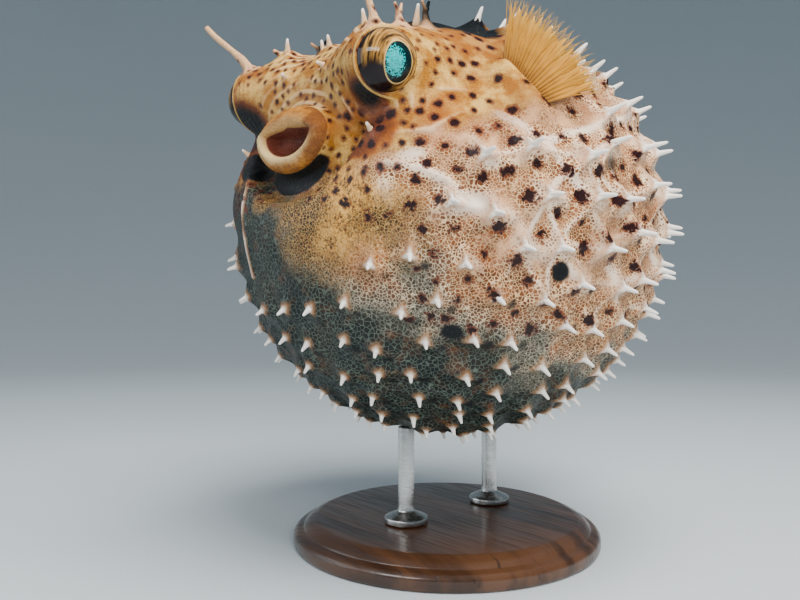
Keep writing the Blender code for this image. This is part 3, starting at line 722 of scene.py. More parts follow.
def tents(points):
    """How the spines' feet lift the skin, how near each point is to one, and how bloodless the
    stretched skin before it is."""
    lift, nearness, white = np.zeros_like(points), np.zeros(len(points)), np.zeros(len(points))
    for foot, way, outward, length in zip(spine_feet, spine_ways, spine_outwards, spine_lengths):
        offset = points - foot
        close = np.flatnonzero((offset**2).sum(1) < TENT_REACH**2)
        offset = offset[close]
        back = leaning(way, outward)
        x, y = offset @ back, offset @ np.cross(outward, back)
        gap, turn = np.hypot(x, y), np.arctan2(y, x)
        root = ((1 + np.cos(3 * turn)) / 2) ** 2 * smooth_step(length / SPINE_LENGTH, 0.45, 0.9)
        fall = TENT_NARROW + (TENT_WIDE - TENT_NARROW) * root
        rise = np.exp(-gap / fall) * (1 - smooth_step(gap, 0.10, TENT_REACH))
        higher = rise > nearness[close]
        nearness[close[higher]] = rise[higher]
        lift[close[higher]] = way * (rise[higher] * length * TENT_HEIGHT)[:, None]
        before = np.where(x < 0.02, (x - 0.02) * 0.62, x - 0.02)
        gap = np.hypot(before, y) / (0.060 + 0.035 * root)
        white[close] = np.maximum(white[close], np.exp(-(gap**2)))
    return lift, nearness, white


def ripple(values, spacing):
    """A row of rounded ridges, 1 on each crest and 0 between them."""
    return (0.5 + 0.5 * np.cos(values * 2 * math.pi / spacing)) ** 2


# Long pleats where the swollen flank pulls on the cheek, on the left side; the right side mirrors
# them. The chin's pale ridge is on the right side alone.
PLEATS = (
    ((0.78, 0.555, 0.385), (0.69, 0.655, 0.381), (0.57, 0.695, 0.444), (0.436, 0.778, 0.443),
     (0.326, 0.897, 0.317), (0.249, 0.969, 0.158), (0.151, 1.003, -0.041), (0.02, 0.971, -0.293)),
    ((0.588, 0.616, 0.538), (0.50, 0.67, 0.53)),
    ((0.83, 0.54, 0.27), (0.76, 0.66, 0.24), (0.70, 0.73, 0.19), (0.65, 0.785, 0.11)),
    ((0.326, 0.897, 0.317), (0.10, 0.93, 0.36), (-0.15, 0.90, 0.40), (-0.40, 0.80, 0.42)),
)
CHIN_RIDGE = ((0.80, -0.38, 0.42), (0.875, -0.36, 0.28), (0.945, -0.32, 0.165), (0.98, -0.25, 0.02),
             (0.965, -0.25, -0.14))
PLEAT_WIDTH, PLEAT_RISE, CHIN_RIDGE_WIDTH, CHIN_RIDGE_RISE = 0.012, 0.007, 0.020, 0.016
CREASE_SPACING, CREASE_RISE = 0.044, 0.0038
LID_RIM = math.radians(62)  # from the eye's axis, seen from the turret's middle
LID_ROLL_WIDTH, LID_ROLL_RISE = math.radians(3.6), 0.010
LID_FOLD_SPACING, LID_FOLD_RISE = math.radians(10.5), 0.0045
LIP_FOLDS, LIP_FOLD_RISE, SWELLING = 58, 0.0013, 0.004

outward = units(slopes(skin_distance, points))
left_side = mirrored(points)
mouth_gap = lengths((points - mouth_middle) * (1, 0.8, 1))
from_eye = left_side - EYE
eye_gap = lengths(from_eye)
eye_turn = np.arccos(np.clip(from_eye @ EYE_AXIS / eye_gap, -1, 1))
on_turret = 1 - smooth_step(eye_gap, TURRET * 1.05, TURRET * 1.35)
is_head = smooth_step(points @ NECK, NECK_OFFSET - 0.12, NECK_OFFSET + 0.02)
across_mouth, up_mouth, before_mouth = mouth_places(points)
on_lips = 1 - smooth_step(lips_distance(points), 0.006, 0.022)
on_lips *= smooth_step(before_mouth, 0.10 * LIPS_PROUD, 0.45 * LIPS_PROUD)
on_lips = np.maximum(on_lips, (1 - smooth_step(gape_distance(points), 0.016, 0.034)) * (mouth_gap < 0.3))
in_gape = (1 - smooth_step(gape_distance(points), 0.0, 0.018)) * (mouth_gap < 0.3)
off_feelers = smooth_step(feelers_distance(points), 0.0, 0.06)

lift, tented, blanched = tents(points)
loose = (1 - is_head) * smooth_step(lobes_distance(points), 0.0, 0.08) * (points[:, 0] > -1.05)
sag = SAG * (1 - blanched) * loose
pleat_gap = np.full(len(points), FAR)
for pleat in PLEATS:
    pleat_gap = np.minimum(pleat_gap, line_distance(left_side + 0.008 * wander(points, 0.05)[:, None],
                                                    on_skin(pleat)))
pleated = np.exp(-((pleat_gap / PLEAT_WIDTH) ** 2)) * (1 - on_turret)
tight = tight_lines(points) * loose
chin_ridge = line_distance(points + 0.012 * wander(points, 0.05)[:, None], on_skin(CHIN_RIDGE))
chin_ridge = np.exp(-((chin_ridge / CHIN_RIDGE_WIDTH) ** 2))

on_brow = is_head * (1 - on_turret) * (1 - on_lips) * smooth_step(up_mouth, 0.02, 0.14) * off_feelers
creases = ripple(mouth_gap + 0.012 * wander(points, 0.07), CREASE_SPACING) * on_brow
broken = 0.30 + 0.70 * smooth_step(wander(points, 0.075), -0.5, 0.3)
creases *= broken * (1 - smooth_step(mouth_gap, 0.48, 0.62))
lid_roll = np.exp(-(((eye_turn - LID_RIM) / LID_ROLL_WIDTH) ** 2)) * on_turret
lid_folds = ripple(eye_turn - LID_RIM, LID_FOLD_SPACING) * on_turret
lid_folds *= smooth_step(eye_turn, LID_RIM + 0.07, LID_RIM + 0.14) * (1 - smooth_step(eye_turn, 1.5, 2.0))
lip_turn = np.arctan2(up_mouth / LIPS_HALF_HIGH, across_mouth / LIPS_HALF_WIDE)
lip_folds = ripple(lip_turn + 0.09 * wander(points, 0.03), 2 * math.pi / LIP_FOLDS)
lip_folds = lip_folds * on_lips * (1 - in_gape)

height = PLEAT_RISE * pleated + CHIN_RIDGE_RISE * chin_ridge + TIGHT_RISE * tight
height += CREASE_RISE * creases
height -= sag
height += LID_ROLL_RISE * lid_roll + LID_FOLD_RISE * lid_folds + LIP_FOLD_RISE * lip_folds
height += SWELLING * wander(points, 0.09) * (1 - on_lips) * (1 - on_turret)
relief = points + outward * height[:, None] + lift * off_feelers[:, None]

# ---------------------------------------------------------------- Colours of the skin
# A golden head with small dark spots, cream flanks with a net of fine pale lines and maroon spots
# in rusty rings, and a charcoal belly. Painted shade darkens the groove under the lips, the skin
# below the turrets and behind the belly's spines, the right of the chin and the near corner of the
# mouth, and a painted highlight brightens the cheek's white patches. The markings and the painted
# light are worked out on the skin itself and kept with its points; the finest, such as the net, are
# in the paint.

GOLD, PALE_GOLD, DEEP_GOLD = (0.36, 0.135, 0.011), (0.72, 0.44, 0.115), (0.22, 0.062, 0.006)
CREAM, ROSE_CREAM, WHITE = (0.66, 0.37, 0.195), (0.30, 0.118, 0.052), (0.93, 0.86, 0.79)
RUST, MAROON, BROWN = (0.22, 0.058, 0.011), (0.016, 0.0035, 0.004), (0.10, 0.033, 0.010)
AMBER = (0.35, 0.098, 0.010)
THROAT_GOLD, THROAT_BROWN = (0.80, 0.36, 0.050), (0.10, 0.033, 0.007)
CHARCOAL, CHARCOAL_BROWN = (0.0025, 0.0060, 0.0060), (0.018, 0.012, 0.007)
GREY_BROWN, GREY_NET = (0.058, 0.040, 0.026), (0.60, 0.54, 0.40)
FLANK_NET, BELLY_NET, THROAT_NET = (0.84, 0.54, 0.28), (0.088, 0.118, 0.094), (0.85, 0.52, 0.16)
LIP_GOLD, LIP_BROWN, LIP_CREAM = (0.52, 0.20, 0.018), (0.17, 0.050, 0.008), (0.82, 0.58, 0.26)
INK = (0.002, 0.003, 0.004)
LINING, LINING_DARK = (0.22, 0.060, 0.036), (0.13, 0.032, 0.020)
UNDER_EYE, FEELER_CREAM, TENT_FOOT = (0.15, 0.036, 0.007), (0.76, 0.46, 0.26), (0.46, 0.22, 0.09)
PALE_CREASE, SPOT_RIM, SKIN_WHITE = (0.85, 0.56, 0.27), (0.12, 0.026, 0.012), (0.88, 0.74, 0.61)
NET_CELLS, FLANK_CELLS, FINE_CELLS = 700, 1000, 1150  # to the metre


class Paint:
    """A material, with short ways to add the nodes that paint it."""

    def __init__(self, name, **values):
        self.material = bpy.data.materials.new(name)
        self.material.use_nodes = True
        self.tree = self.material.node_tree
        self.shader = self.tree.nodes["Principled BSDF"]
        self.place = self.tree.nodes.new("ShaderNodeTexCoord").outputs["Object"]
        for socket, value in values.items():
            self.set(self.shader.inputs[socket.replace("_", " ")], value)

    def set(self, socket, value):
        """Value is a number, a colour, a node's socket, or the name of a number kept with the points."""
        if isinstance(value, str):
            value = self.node("Attribute", {"attribute_name": value}).outputs["Fac"]
        if isinstance(value, bpy.types.NodeSocket):
            self.tree.links.new(value, socket)
        elif isinstance(value, tuple) and socket.type == "RGBA":
            socket.default_value = (*value, 1.0)
        else:
            socket.default_value = value

    def node(self, kind, settings, **sockets):
        made = self.tree.nodes.new("ShaderNode" + kind)
        for key, value in settings.items():
            setattr(made, key, value)
        for key, value in sockets.items():
            self.set(made.inputs[key.replace("_", " ")], value)
        return made

    def noise(self, scale, detail=3.0, place=None):
        place = place or self.place
        return self.node("TexNoise", {}, Vector=place, Scale=scale, Detail=detail).outputs["Fac"]

    def warped(self, scale, amount):
        """Places pushed about a little, so that lines drawn by them aren't straight."""
        push = self.node("TexNoise", {}, Vector=self.place, Scale=scale, Detail=2.0).outputs["Color"]
        middle = self.node("VectorMath", {"operation": "SUBTRACT"})
        self.set(middle.inputs[0], push)
        self.set(middle.inputs[1], (0.5, 0.5, 0.5))
        moved = self.node("VectorMath", {"operation": "MULTIPLY_ADD"})
        self.set(moved.inputs[0], middle.outputs[0])
        self.set(moved.inputs[1], (amount, amount, amount))
        self.set(moved.inputs[2], self.place)
        return moved.outputs[0]

    def cells(self, scale, place, feature="DISTANCE_TO_EDGE", output="Distance"):
        found = self.node("TexVoronoi", {"feature": feature}, Vector=place, Scale=scale)
        return found.outputs[output]

    def math(self, operation, a, b=0.0):
        made = self.node("Math", {"operation": operation})
        self.set(made.inputs[0], a)
        self.set(made.inputs[1], b)
        return made.outputs[0]

    def plus(self, a, b):
        return self.math("ADD", a, b)

    def minus(self, a, b):
        return self.math("SUBTRACT", a, b)

    def times(self, a, b):
        return self.math("MULTIPLY", a, b)

    def step(self, value, start, end, low=0.0, high=1.0):
        """Runs smoothly from low to high as value goes from start to end."""
        made = self.node("MapRange", {"interpolation_type": "SMOOTHSTEP"}, Value=value, From_Min=start,
                         From_Max=end, To_Min=low, To_Max=high)
        return made.outputs["Result"]

    def mix(self, share, a, b):
        made = self.node("Mix", {"data_type": "RGBA"})
        for socket, value in zip((made.inputs[0], made.inputs[6], made.inputs[7]), (share, a, b)):
            self.set(socket, value)
        return made.outputs[2]

    def layers(self, tone, *over):
        """Lays each (share, tone) over what is under it."""
        for share, above in over:
            tone = self.mix(share, tone, above)
        return tone

    def coat(self, colour):
        self.set(self.shader.inputs["Base Color"], colour)

    def bump(self, height, depth):
        made = self.node("Bump", {}, Height=height, Distance=depth)
        self.set(self.shader.inputs["Normal"], made.outputs["Normal"])


# Spots keep their distance from each other: small and close on the brow, wide apart on the flank.
SPOT_SEED, SPOT_TRIES = 11, 16000
UNDER_EYE_SPOTS = (  # a cluster of big ones, each a place and a radius
    (0.771, 0.363, 0.487, 0.020), (0.747, 0.467, 0.499, 0.018), (0.749, 0.504, 0.458, 0.023),
    (0.771, 0.466, 0.442, 0.022), (0.797, 0.447, 0.409, 0.019), (0.791, 0.489, 0.404, 0.019),
    (0.780, 0.278, 0.484, 0.017), (0.832, 0.473, 0.350, 0.021), (0.837, 0.420, 0.357, 0.018),
)
BROW_SPOT_GAP, FLANK_SPOT_GAP = 0.038, 0.098
SPOT_SHARE, CHEEK_SPOT_SHARE, CHEEK_SPOT_GAP, CHEEK_SPOT_WIDTH = 0.20, 0.09, 0.055, 0.012  # of a gap
SPOTS_REACH = 0.15
BROW_MIDDLE, BROW_END, FLANK_START = (0.78, 0.0, 0.72), 0.52, 1.12  # how far the brow's small ones go
LOWEST_SPOT, LOWEST_FACE_SPOT, FACE_START = -0.15, 0.22, 0.80
spot_dice = np.random.default_rng(SPOT_SEED)


def spot_places():
    """Spots thrown on the skin one by one, each kept only if it stands clear of the others."""
    tries = spot_dice.permutation(len(points))[:SPOT_TRIES]
    middles = [np.array((x, side * y, z)) for x, y, z, _ in UNDER_EYE_SPOTS for side in (1, -1)]
    sizes = [size for *_, size in UNDER_EYE_SPOTS for _ in (1, -1)]
    for here in points[tries]:
        off_brow = smooth_step(np.linalg.norm(np.abs(here) - BROW_MIDDLE), BROW_END, FLANK_START)
        gap = BROW_SPOT_GAP + (FLANK_SPOT_GAP - BROW_SPOT_GAP) * off_brow
        up = 0.30 * abs(here[1]) + 0.95 * here[2]
        if up < LOWEST_SPOT or (up < LOWEST_FACE_SPOT and here[0] > FACE_START):
            continue
        if (lengths(np.array(middles) - here) < gap).any():
            continue
        middles.append(here)
        on_cheek = math.exp(-(((gap - CHEEK_SPOT_GAP) / CHEEK_SPOT_WIDTH) ** 2))
        share = SPOT_SHARE + CHEEK_SPOT_SHARE * on_cheek
        sizes.append(gap * share * spot_dice.uniform(0.70, 1.35))
    return np.array(middles), np.array(sizes)


def spot_gaps(points):
    """Distance to the edge of the nearest spot, less than 0 inside it, in millimetres."""
    nearest = np.full(len(points), SPOTS_REACH)
    for middle, size in zip(*spot_places()):
        gap = np.sqrt(((points - middle) ** 2).sum(1)) - size
        nearest = np.minimum(nearest, gap)
    return nearest * BELLY * 1000


def near(points, place, size, soft):
    """1 at a place, falling to 0 at size from it."""
    gap = lengths((points - np.array(place)) / size)
    return 1 - smooth_step(gap, 1 - soft, 1)


def patches(points, *places):
    """The strongest patch at each point, of a few: each a place, a size, a strength and a softness."""
    found = np.zeros(len(points))
    for place, size, strength, soft in places:
        found = np.maximum(found, strength * near(points, place, size, soft))
    return found


# Where the painted shade under the lower lip lies.
GROOVE_SHADE_HALF_WIDE, GROOVE_SHADE_DEEP, GROOVE_SHADE_ASIDE = 0.0190 / BELLY, 0.0158 / BELLY, 0.0036 / BELLY
# Where the painted shade behind each belly spine lies.
PIT_SHADE_BACK, PIT_SHADE_MOVED, PIT_SHADE_REACH = 0.055, np.array((-0.02, 0, -0.012)), 0.06
PIT_SHADE_SIZE, PIT_SHADE_DEPTH = 0.050, 0.62
PALE_PLEAT_WIDTH = 0.026


def duskiness(points):
    """How far below the slanting border of the dark belly each point lies."""
    return 0.52 * np.maximum(points[:, 0], 0.12) - 0.10 * np.abs(points[:, 1]) - points[:, 2] - 0.70


front, level = points[:, 0], points[:, 2]
golden = level - 0.54 + 0.26 * np.maximum(front, 0) - 0.35 * smooth_step(-front, -0.30, 0.55)
golden = golden + 0.6 * on_turret
# Painted shade: the right half of the chin, on the side away from the light, is darkened as the belly is,
# leaving a paler island there.
right_chin_shade = 0.10 - points[:, 1] - 0.9 * (level - 0.04) - 1.4 * smooth_step(-points[:, 1], 0.45, 0.80)
right_chin_shade -= 2 * smooth_step(-front, -0.75, -0.45) + 0.34 * near(points, (0.93, -0.17, 0.20), 0.14, 0.8)
# The dark belly, with the painted shade on the right of the chin joined to it.
dusky = np.maximum(duskiness(points), np.minimum(right_chin_shade, 0.3))
throaty = 0.34 - lengths((points - (0.93, 0.24, 0.08)) * (1, 0.9, 1.1))
right_throat = lengths((points - (0.93, -0.2, 0.12)) * (1, 1, 1.2))
throaty = np.maximum(throaty, 0.26 - right_throat)
blotches_and_pit_shade = patches(
    left_side,
    ((0.20, 0.25, 0.90), (0.42, 0.46, 0.29), 1.20, 0.75),  # the nape
    ((-0.60, 0.0, 0.74), (0.26, 0.30, 0.20), 1.0, 0.75),  # round the back fin
    ((0.02, 0.93, 0.20), (0.13, 0.13, 0.10), 0.85, 0.75),  # behind the gill
    ((0.329, 0.940, -0.187), (0.055, 0.055, 0.070), 1.0, 0.75),  # a round one on the flank
    ((0.662, 0.665, -0.384), (0.075, 0.075, 0.045), 0.9, 0.75),  # a flat one near the belly
)
# The shadow below the front of each turret, larger under the right one.
shaded = patches(points, (EYE + (0.09, 0.0, -0.12), 0.14, 0.8, 0.95),
                 (EYE * (1, -1, 1) + (0.10, 0.0, -0.13), 0.20, 1, 0.95))
# Painted shade: black in the groove under the lower lip, where shade falls, and at its far end on the right
# cheek below the right eye.
groove_shade = np.hypot((across_mouth + GROOVE_SHADE_ASIDE) / GROOVE_SHADE_HALF_WIDE, up_mouth / GROOVE_SHADE_DEEP)
groove_shade = (1 - smooth_step(groove_shade, 0.90, 1.10)) * (1 - on_lips)
groove_shade = groove_shade * smooth_step(-up_mouth, 0.0, 0.06) * (front > 0)
far_groove_shade = near(points, (0.83, -0.37, 0.34), (0.12, 0.13, 0.10), 0.6) * (1 - on_lips)
groove_shade = np.maximum(groove_shade, far_groove_shade)
# Painted shade: a dark patch on the skin behind each spine of the belly, where its tent of skin shades it.
for foot, way, outwards in zip(spine_feet, spine_ways, spine_outwards):
    pit_shade_middle = foot + leaning(way, outwards) * PIT_SHADE_BACK + PIT_SHADE_MOVED
    if duskiness(foot[None])[0] > -0.30 and foot[0] > -0.9:
        close = np.flatnonzero(((points - pit_shade_middle) ** 2).sum(1) < PIT_SHADE_REACH**2)
        pit_shade = PIT_SHADE_DEPTH * near(points[close], pit_shade_middle, PIT_SHADE_SIZE, 0.8)
        blotches_and_pit_shade[close] = np.maximum(blotches_and_pit_shade[close], pit_shade)
under_eye = patches(left_side, ((0.80, 0.475, 0.42), (0.13, 0.15, 0.16), 1, 0.95),
                    ((0.845, 0.42, 0.34), (0.08, 0.17, 0.07), 0.9, 0.9))
amber = patches(left_side, ((0.64, 0.66, 0.46), 0.24, 0.6, 0.95), ((0.84, 0.33, 0.47), 0.20, 1, 0.95))
# White patches on the cheek, pale skin with a painted highlight of sunlight through water on it, and
# bloodless skin along pleats, between spines and before them.
pale_and_lit_patch = patches(left_side, ((0.78, 0.64, 0.295), (0.11, 0.10, 0.055), 0.95, 0.95),
                      ((0.862, 0.56, 0.155), (0.10, 0.08, 0.14), 0.95, 0.95),
                      ((0.650, 0.785, 0.105), (0.13, 0.11, 0.085), 1.3, 0.95))
pale = pale_and_lit_patch * (0.85 + 0.35 * wander(points, 0.035))
uneven = wander(points, 0.05)
pale = np.maximum(pale, 0.90 * np.exp(-((pleat_gap / PALE_PLEAT_WIDTH) ** 2)) * (0.75 + 0.25 * uneven))
pale = np.maximum(pale, tight * (0.50 + 0.25 * uneven) * smooth_step(-dusky, 0.15, 0.45))
blanched = 0.70 * blanched * smooth_step(-dusky, 0.10, 0.45)
pale = np.maximum(pale, blanched * (0.85 + 0.25 * wander(points, 0.03)))
out_mouth, gape_reach, rim_reach = mouth_radii(across_mouth, up_mouth - GAPE_LEVEL)
lip_share = np.clip((out_mouth - gape_reach) / (rim_reach - gape_reach), 0, 1)  # 0 at the opening
spot_edges = spot_gaps(points) + 3 * smooth_step(eye_gap, 0.24, 0.30) * (1 - off_feelers)
spot_edges += 4 * smooth_step(pale_and_lit_patch, 0.45, 0.80)
kept = {
    "golden": golden, "dusky": dusky, "throaty": throaty, "spots": spot_edges, "shaded": shaded,
    "tented": np.maximum(tented * (1 - 0.6 * is_head), np.maximum(0.42 * pleated, 0.72 * chin_ridge)),
    "pale": pale, "creases": np.maximum(creases, 0.9 * pleated * is_head), "amber": amber,
    "lips": on_lips, "gape": in_gape, "lip_share": lip_share, "lip_rise": up_mouth,
    "lip_turn": lip_turn, "lip_aside": across_mouth, "lid": lid_roll, "blotches_and_pit_shade": blotches_and_pit_shade,
    "groove_shade": groove_shade, "under_eye": under_eye, "feeler": 1 - off_feelers,
}

paint = Paint("spotted_skin", Roughness=0.55, Specular_IOR_Level=0.30, Coat_Weight=0.08,
              Coat_Roughness=0.30)
slow, brisk, grain = paint.noise(45, 3.0), paint.noise(190, 4.0), paint.noise(900, 3.0)
net_place = paint.warped(260, 0.0018)
net_edge = paint.cells(NET_CELLS, net_place)
flank_edge = paint.cells(FLANK_CELLS, net_place)
cell_hues = paint.cells(FLANK_CELLS, net_place, "F1", "Color")
cell_tone = paint.node("SeparateColor", {}, Color=cell_hues).outputs[0]
fine_edge = paint.cells(FINE_CELLS, paint.warped(500, 0.0012))


def ragged(name, amount, start, end, noise=slow):
    """A kept level as a mask whose edge wanders with a noise."""
    shifted = paint.times(paint.minus(noise, 0.5), amount)
    return paint.step(paint.plus(name, shifted), start, end)


# Where the belly's charcoal, the flank's rust and the net of lines are.
spots = paint.plus("spots", paint.times(paint.noise(560, 3.0), 1.7))
halo = paint.step(spots, 5.4, 1.8)
off_head = paint.step("golden", 0.1, -0.2, 0.0, 1.3)
spots = paint.plus(spots, paint.times(paint.minus(cell_tone, 0.5), off_head))
deep = ragged("dusky", 0.9, -0.15, 0.10)
dim = ragged("dusky", 0.8, -0.26, -0.04)
# Pale skin, with a painted highlight on the cheek's white patches.
pale_and_lit_skin = ragged("pale", 0.6, 0.08, 0.92, brisk)
netted = paint.math("MAXIMUM", ragged("dusky", 2.4, -0.78, -0.40, paint.noise(70, 3.0)), halo)
netted = paint.math("MAXIMUM", netted, paint.step(brisk, 0.35, 0.6, 0.12, 0.60))
netted = paint.times(netted, ragged("pale", 0.5, 1.0, 0.55, brisk))
netted = paint.math("MAXIMUM", netted, deep)
flank_lines = paint.step(paint.minus(flank_edge, paint.times(pale_and_lit_skin, 0.26)), 0.02, 0.13, 1.0, 0.0)
lines = paint.mix(deep, flank_lines, paint.step(net_edge, 0.02, 0.10, 1.0, 0.0))
lines = paint.times(lines, paint.step(slow, 0.32, 0.52, 0.45, 1.0))

# Flank and belly: what lies between the lines, the lines, and the smooth skin that has none.
charcoal = paint.mix(paint.step(slow, 0.45, 0.68), CHARCOAL, CHARCOAL_BROWN)
pale_net = paint.mix(pale_and_lit_skin, paint.mix(dim, FLANK_NET, GREY_NET), SKIN_WHITE)
ground = paint.layers(
    ROSE_CREAM,
    (paint.step(cell_tone, 0.2, 0.9), RUST),
    (paint.step(brisk, 0.42, 0.62), BROWN),
    (dim, GREY_BROWN),
    (deep, charcoal),
    (lines, paint.mix(deep, pale_net, BELLY_NET)),
)
smooth = paint.layers(
    CREAM,
    (paint.step(slow, 0.40, 0.60), ROSE_CREAM),
    (paint.step(brisk, 0.45, 0.70, 0.0, 0.45), RUST),
    (pale_and_lit_skin, SKIN_WHITE),
)

# Throat: close short marks like fur, darker toward the belly.
fur_place = paint.node("Mapping", {}, Vector=net_place, Scale=(1250.0, 1250.0, 950.0)).outputs[0]
fur = paint.plus(paint.times(brisk, 0.5), paint.noise(1.0, 3.0, fur_place))
throat = paint.layers(
    THROAT_GOLD,
    (paint.step(fur, 0.67, 0.94), THROAT_BROWN),
    (paint.step(fur, 0.72, 0.58, 0.0, 0.8), THROAT_NET),
    (ragged("dusky", 1.2, -0.52, -0.14),
     paint.mix(paint.step(fur, 0.62, 0.80), THROAT_BROWN, CHARCOAL_BROWN)),
    (paint.step(fine_edge, 0.02, 0.10, 0.55, 0.0), THROAT_NET),
)
at_throat = paint.times(ragged("throaty", 0.60, -0.06, 0.14), ragged("dusky", 1.1, 0.16, -0.10))

# Head, and lips with streaks that run out from the opening.
head = paint.layers(
    GOLD,
    (paint.step(brisk, 0.38, 0.66), PALE_GOLD),
    (paint.step(slow, 0.55, 0.38, 0.0, 0.65), DEEP_GOLD),
    (ragged("amber", 0.5, 0.15, 0.90, brisk), AMBER),
    (paint.step("creases", 0.15, 0.85, 0.0, 0.7), PALE_CREASE),
)
streaks = paint.node("CombineXYZ", {}, X=paint.times("lip_turn", 6.0),
                     Y=paint.times("lip_share", 3.0)).outputs[0]
streaked = paint.plus(paint.noise(2.2, 3.0, streaks), paint.times(brisk, 0.6))
outer = paint.plus("lip_share", paint.times(paint.minus(brisk, 0.5), 0.7))
lower = paint.step("lip_rise", 0.04, -0.05, 0.35, 1.0)
lips = paint.layers(
    LIP_GOLD,
    (paint.step(streaked, 0.58, 1.02, 0.0, 0.75), LIP_BROWN),
    (paint.step(outer, 0.82, 1.10, 0.0, 0.85), LIP_BROWN),
    (paint.times(paint.step(outer, 0.80, 0.15), lower), LIP_CREAM),
    (ragged("lip_aside", 0.10, -0.15, -0.22, brisk), LIP_CREAM),
    # Painted shade: the near, left corner of the mouth darkened to brown.
    (paint.times(ragged("lip_aside", 0.22, 0.11, 0.22, brisk), 0.85), LIP_BROWN),
)

off_lips = paint.step("lips", 0.5, 0.1)
colour = paint.layers(
    smooth,
    (netted, ground),
    (at_throat, throat),
    (ragged("golden", 0.30, -0.08, 0.03), head),
    (paint.times("feeler", 0.75), FEELER_CREAM),
    (paint.step("tented", 0.22, 0.60, 0.0, 0.75), TENT_FOOT),
    (paint.step("tented", 0.42, 0.85), WHITE),
    (ragged("under_eye", 0.7, 0.0, 0.55, brisk), AMBER),
    (ragged("under_eye", 1.1, 0.30, 0.90, brisk), UNDER_EYE),
    (paint.times(paint.step(spots, 1.7, 0.9, 0.0, 0.8), off_lips), SPOT_RIM),
    (paint.times(paint.step(spots, 0.95, 0.45), off_lips), MAROON),
    # Dark blotches of the skin, and painted shade behind the belly's spines.
    (ragged("blotches_and_pit_shade", 0.45, 0.30, 0.75, brisk), INK),
    (ragged("shaded", 0.2, 0.02, 0.45, brisk), UNDER_EYE),
    (ragged("shaded", 0.2, 0.25, 0.70, brisk), INK),
    # Painted shade: black in the groove under the lower lip.
    (ragged("groove_shade", 0.20, 0.25, 0.50, brisk), INK),
    (ragged("lips", 0.30, 0.30, 0.70, brisk), lips),
    (paint.step("gape", 0.40, 0.65), paint.mix(paint.step(brisk, 0.3, 0.7), LINING, LINING_DARK)),
    (paint.step("lid", 0.45, 0.90, 0.0, 0.6), PALE_GOLD),
)
paint.coat(colour)
wet = paint.times("gape", -0.2)
paint.set(paint.shader.inputs["Roughness"], paint.plus(paint.step(grain, 0.3, 0.7, 0.46, 0.66), wet))
paint.bump(paint.plus(paint.times(grain, 0.8), paint.times(lines, netted)), 0.00016)

skin = add_piece("skin", to_row(relief), faces, paint.material, "skin")
keep(skin, **kept)
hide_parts("head", "trunk", "tail", "eyelid_left", "eyelid_right", "lips", "mouth",
            "tentacle_left", "tentacle_right")

# ---------------------------------------------------------------- Spines
# Bare bone above the tents of skin: blunt white needles that bend back a little, fixed upright
# when the fish is slack or full. They are cast with the skin, and flare out into its tents.

NEEDLE_AROUND = 12
NEEDLE_SHARES = np.array((-0.16, 0.02, 0.16, 0.27, 0.40, 0.55, 0.70, 0.84, 0.93, 0.972, 0.985))
NEEDLE_RADII = np.array((0.014, 0.018, 0.0185, 0.0165, 0.0140, 0.0116, 0.0096, 0.0080,
                         0.0062, 0.0036, 0.0008))
NEEDLE_BEND, THINNEST = 0.05, 0.62
BONE, BONE_FOOT, BROW_FOOT = (0.88, 0.84, 0.78), (0.66, 0.44, 0.26), 0.55

parts, along_needle = [], []
for foot, way, outwards, length in zip(spine_feet, spine_ways, spine_outwards, spine_lengths):
    bend = np.maximum(NEEDLE_SHARES, 0) ** 2 * NEEDLE_BEND * length
    line = foot + np.outer(NEEDLE_SHARES * length, way) + np.outer(bend, leaning(way, outwards))
    thick = NEEDLE_RADII * (THINNEST + (1 - THINNEST) * length / SPINE_LENGTH)
    parts.append(loft(round_rings(line, thick, NEEDLE_AROUND)))
    fleshy = BROW_FOOT * float(foot @ NECK > NECK_OFFSET - NECK_CLEAR)
    along_needle.append(np.append(np.repeat(NEEDLE_SHARES, NEEDLE_AROUND), (NEEDLE_SHARES[0], 1.0)) - fleshy)
paint = Paint("bone", Roughness=0.40, Specular_IOR_Level=0.35, Coat_Weight=0.12, Coat_Roughness=0.2)
shade = paint.plus("along", paint.times(paint.noise(700), 0.25))
paint.coat(paint.mix(paint.step(shade, 0.18, 0.62), BONE_FOOT, BONE))
paint.bump(paint.noise(1500, 2.0), 0.00008)
needles, needle_faces = joined(parts)
spines = add_piece("spines", to_row(needles), needle_faces, paint.material, "skin")
keep(spines, along=np.concatenate(along_needle))

# ---------------------------------------------------------------- Eyes
# Big glassy balls in turrets of skin. The iris is gold with dark streaks, and the pupil a tall
# oval, black with turquoise glints, as burrfishes' pupils have in daylight.

IRIS_GOLD, IRIS_CREAM, IRIS_DARK = (0.40, 0.20, 0.045), (0.62, 0.42, 0.16), (0.030, 0.016, 0.007)
PUPIL_BLACK, UMBER = (0.002, 0.012, 0.014), (0.008, 0.004, 0.005)
TURQUOISE, DEEP_TURQUOISE = (0.01, 0.52, 0.52), (0.0, 0.25, 0.27)
PUPIL_WAY = unit((0.25, 0.94, -0.20))
PUPIL_WIDE, PUPIL_HIGH = math.radians(25), math.radians(35)
CORNEA_BULGE = 0.004
GLINTS_AHEAD, GLINTS_UP, GLINTS_HIGH, GLINTS_FALL, GLINT_CELLS = 0.14, 0.03, 0.72, 2.5, 3300
SHADE_WAY, SHADE_SIZE, SHADED_RIM = (0.66, 0.36, -0.62), 0.86, (1.05, 1.15)

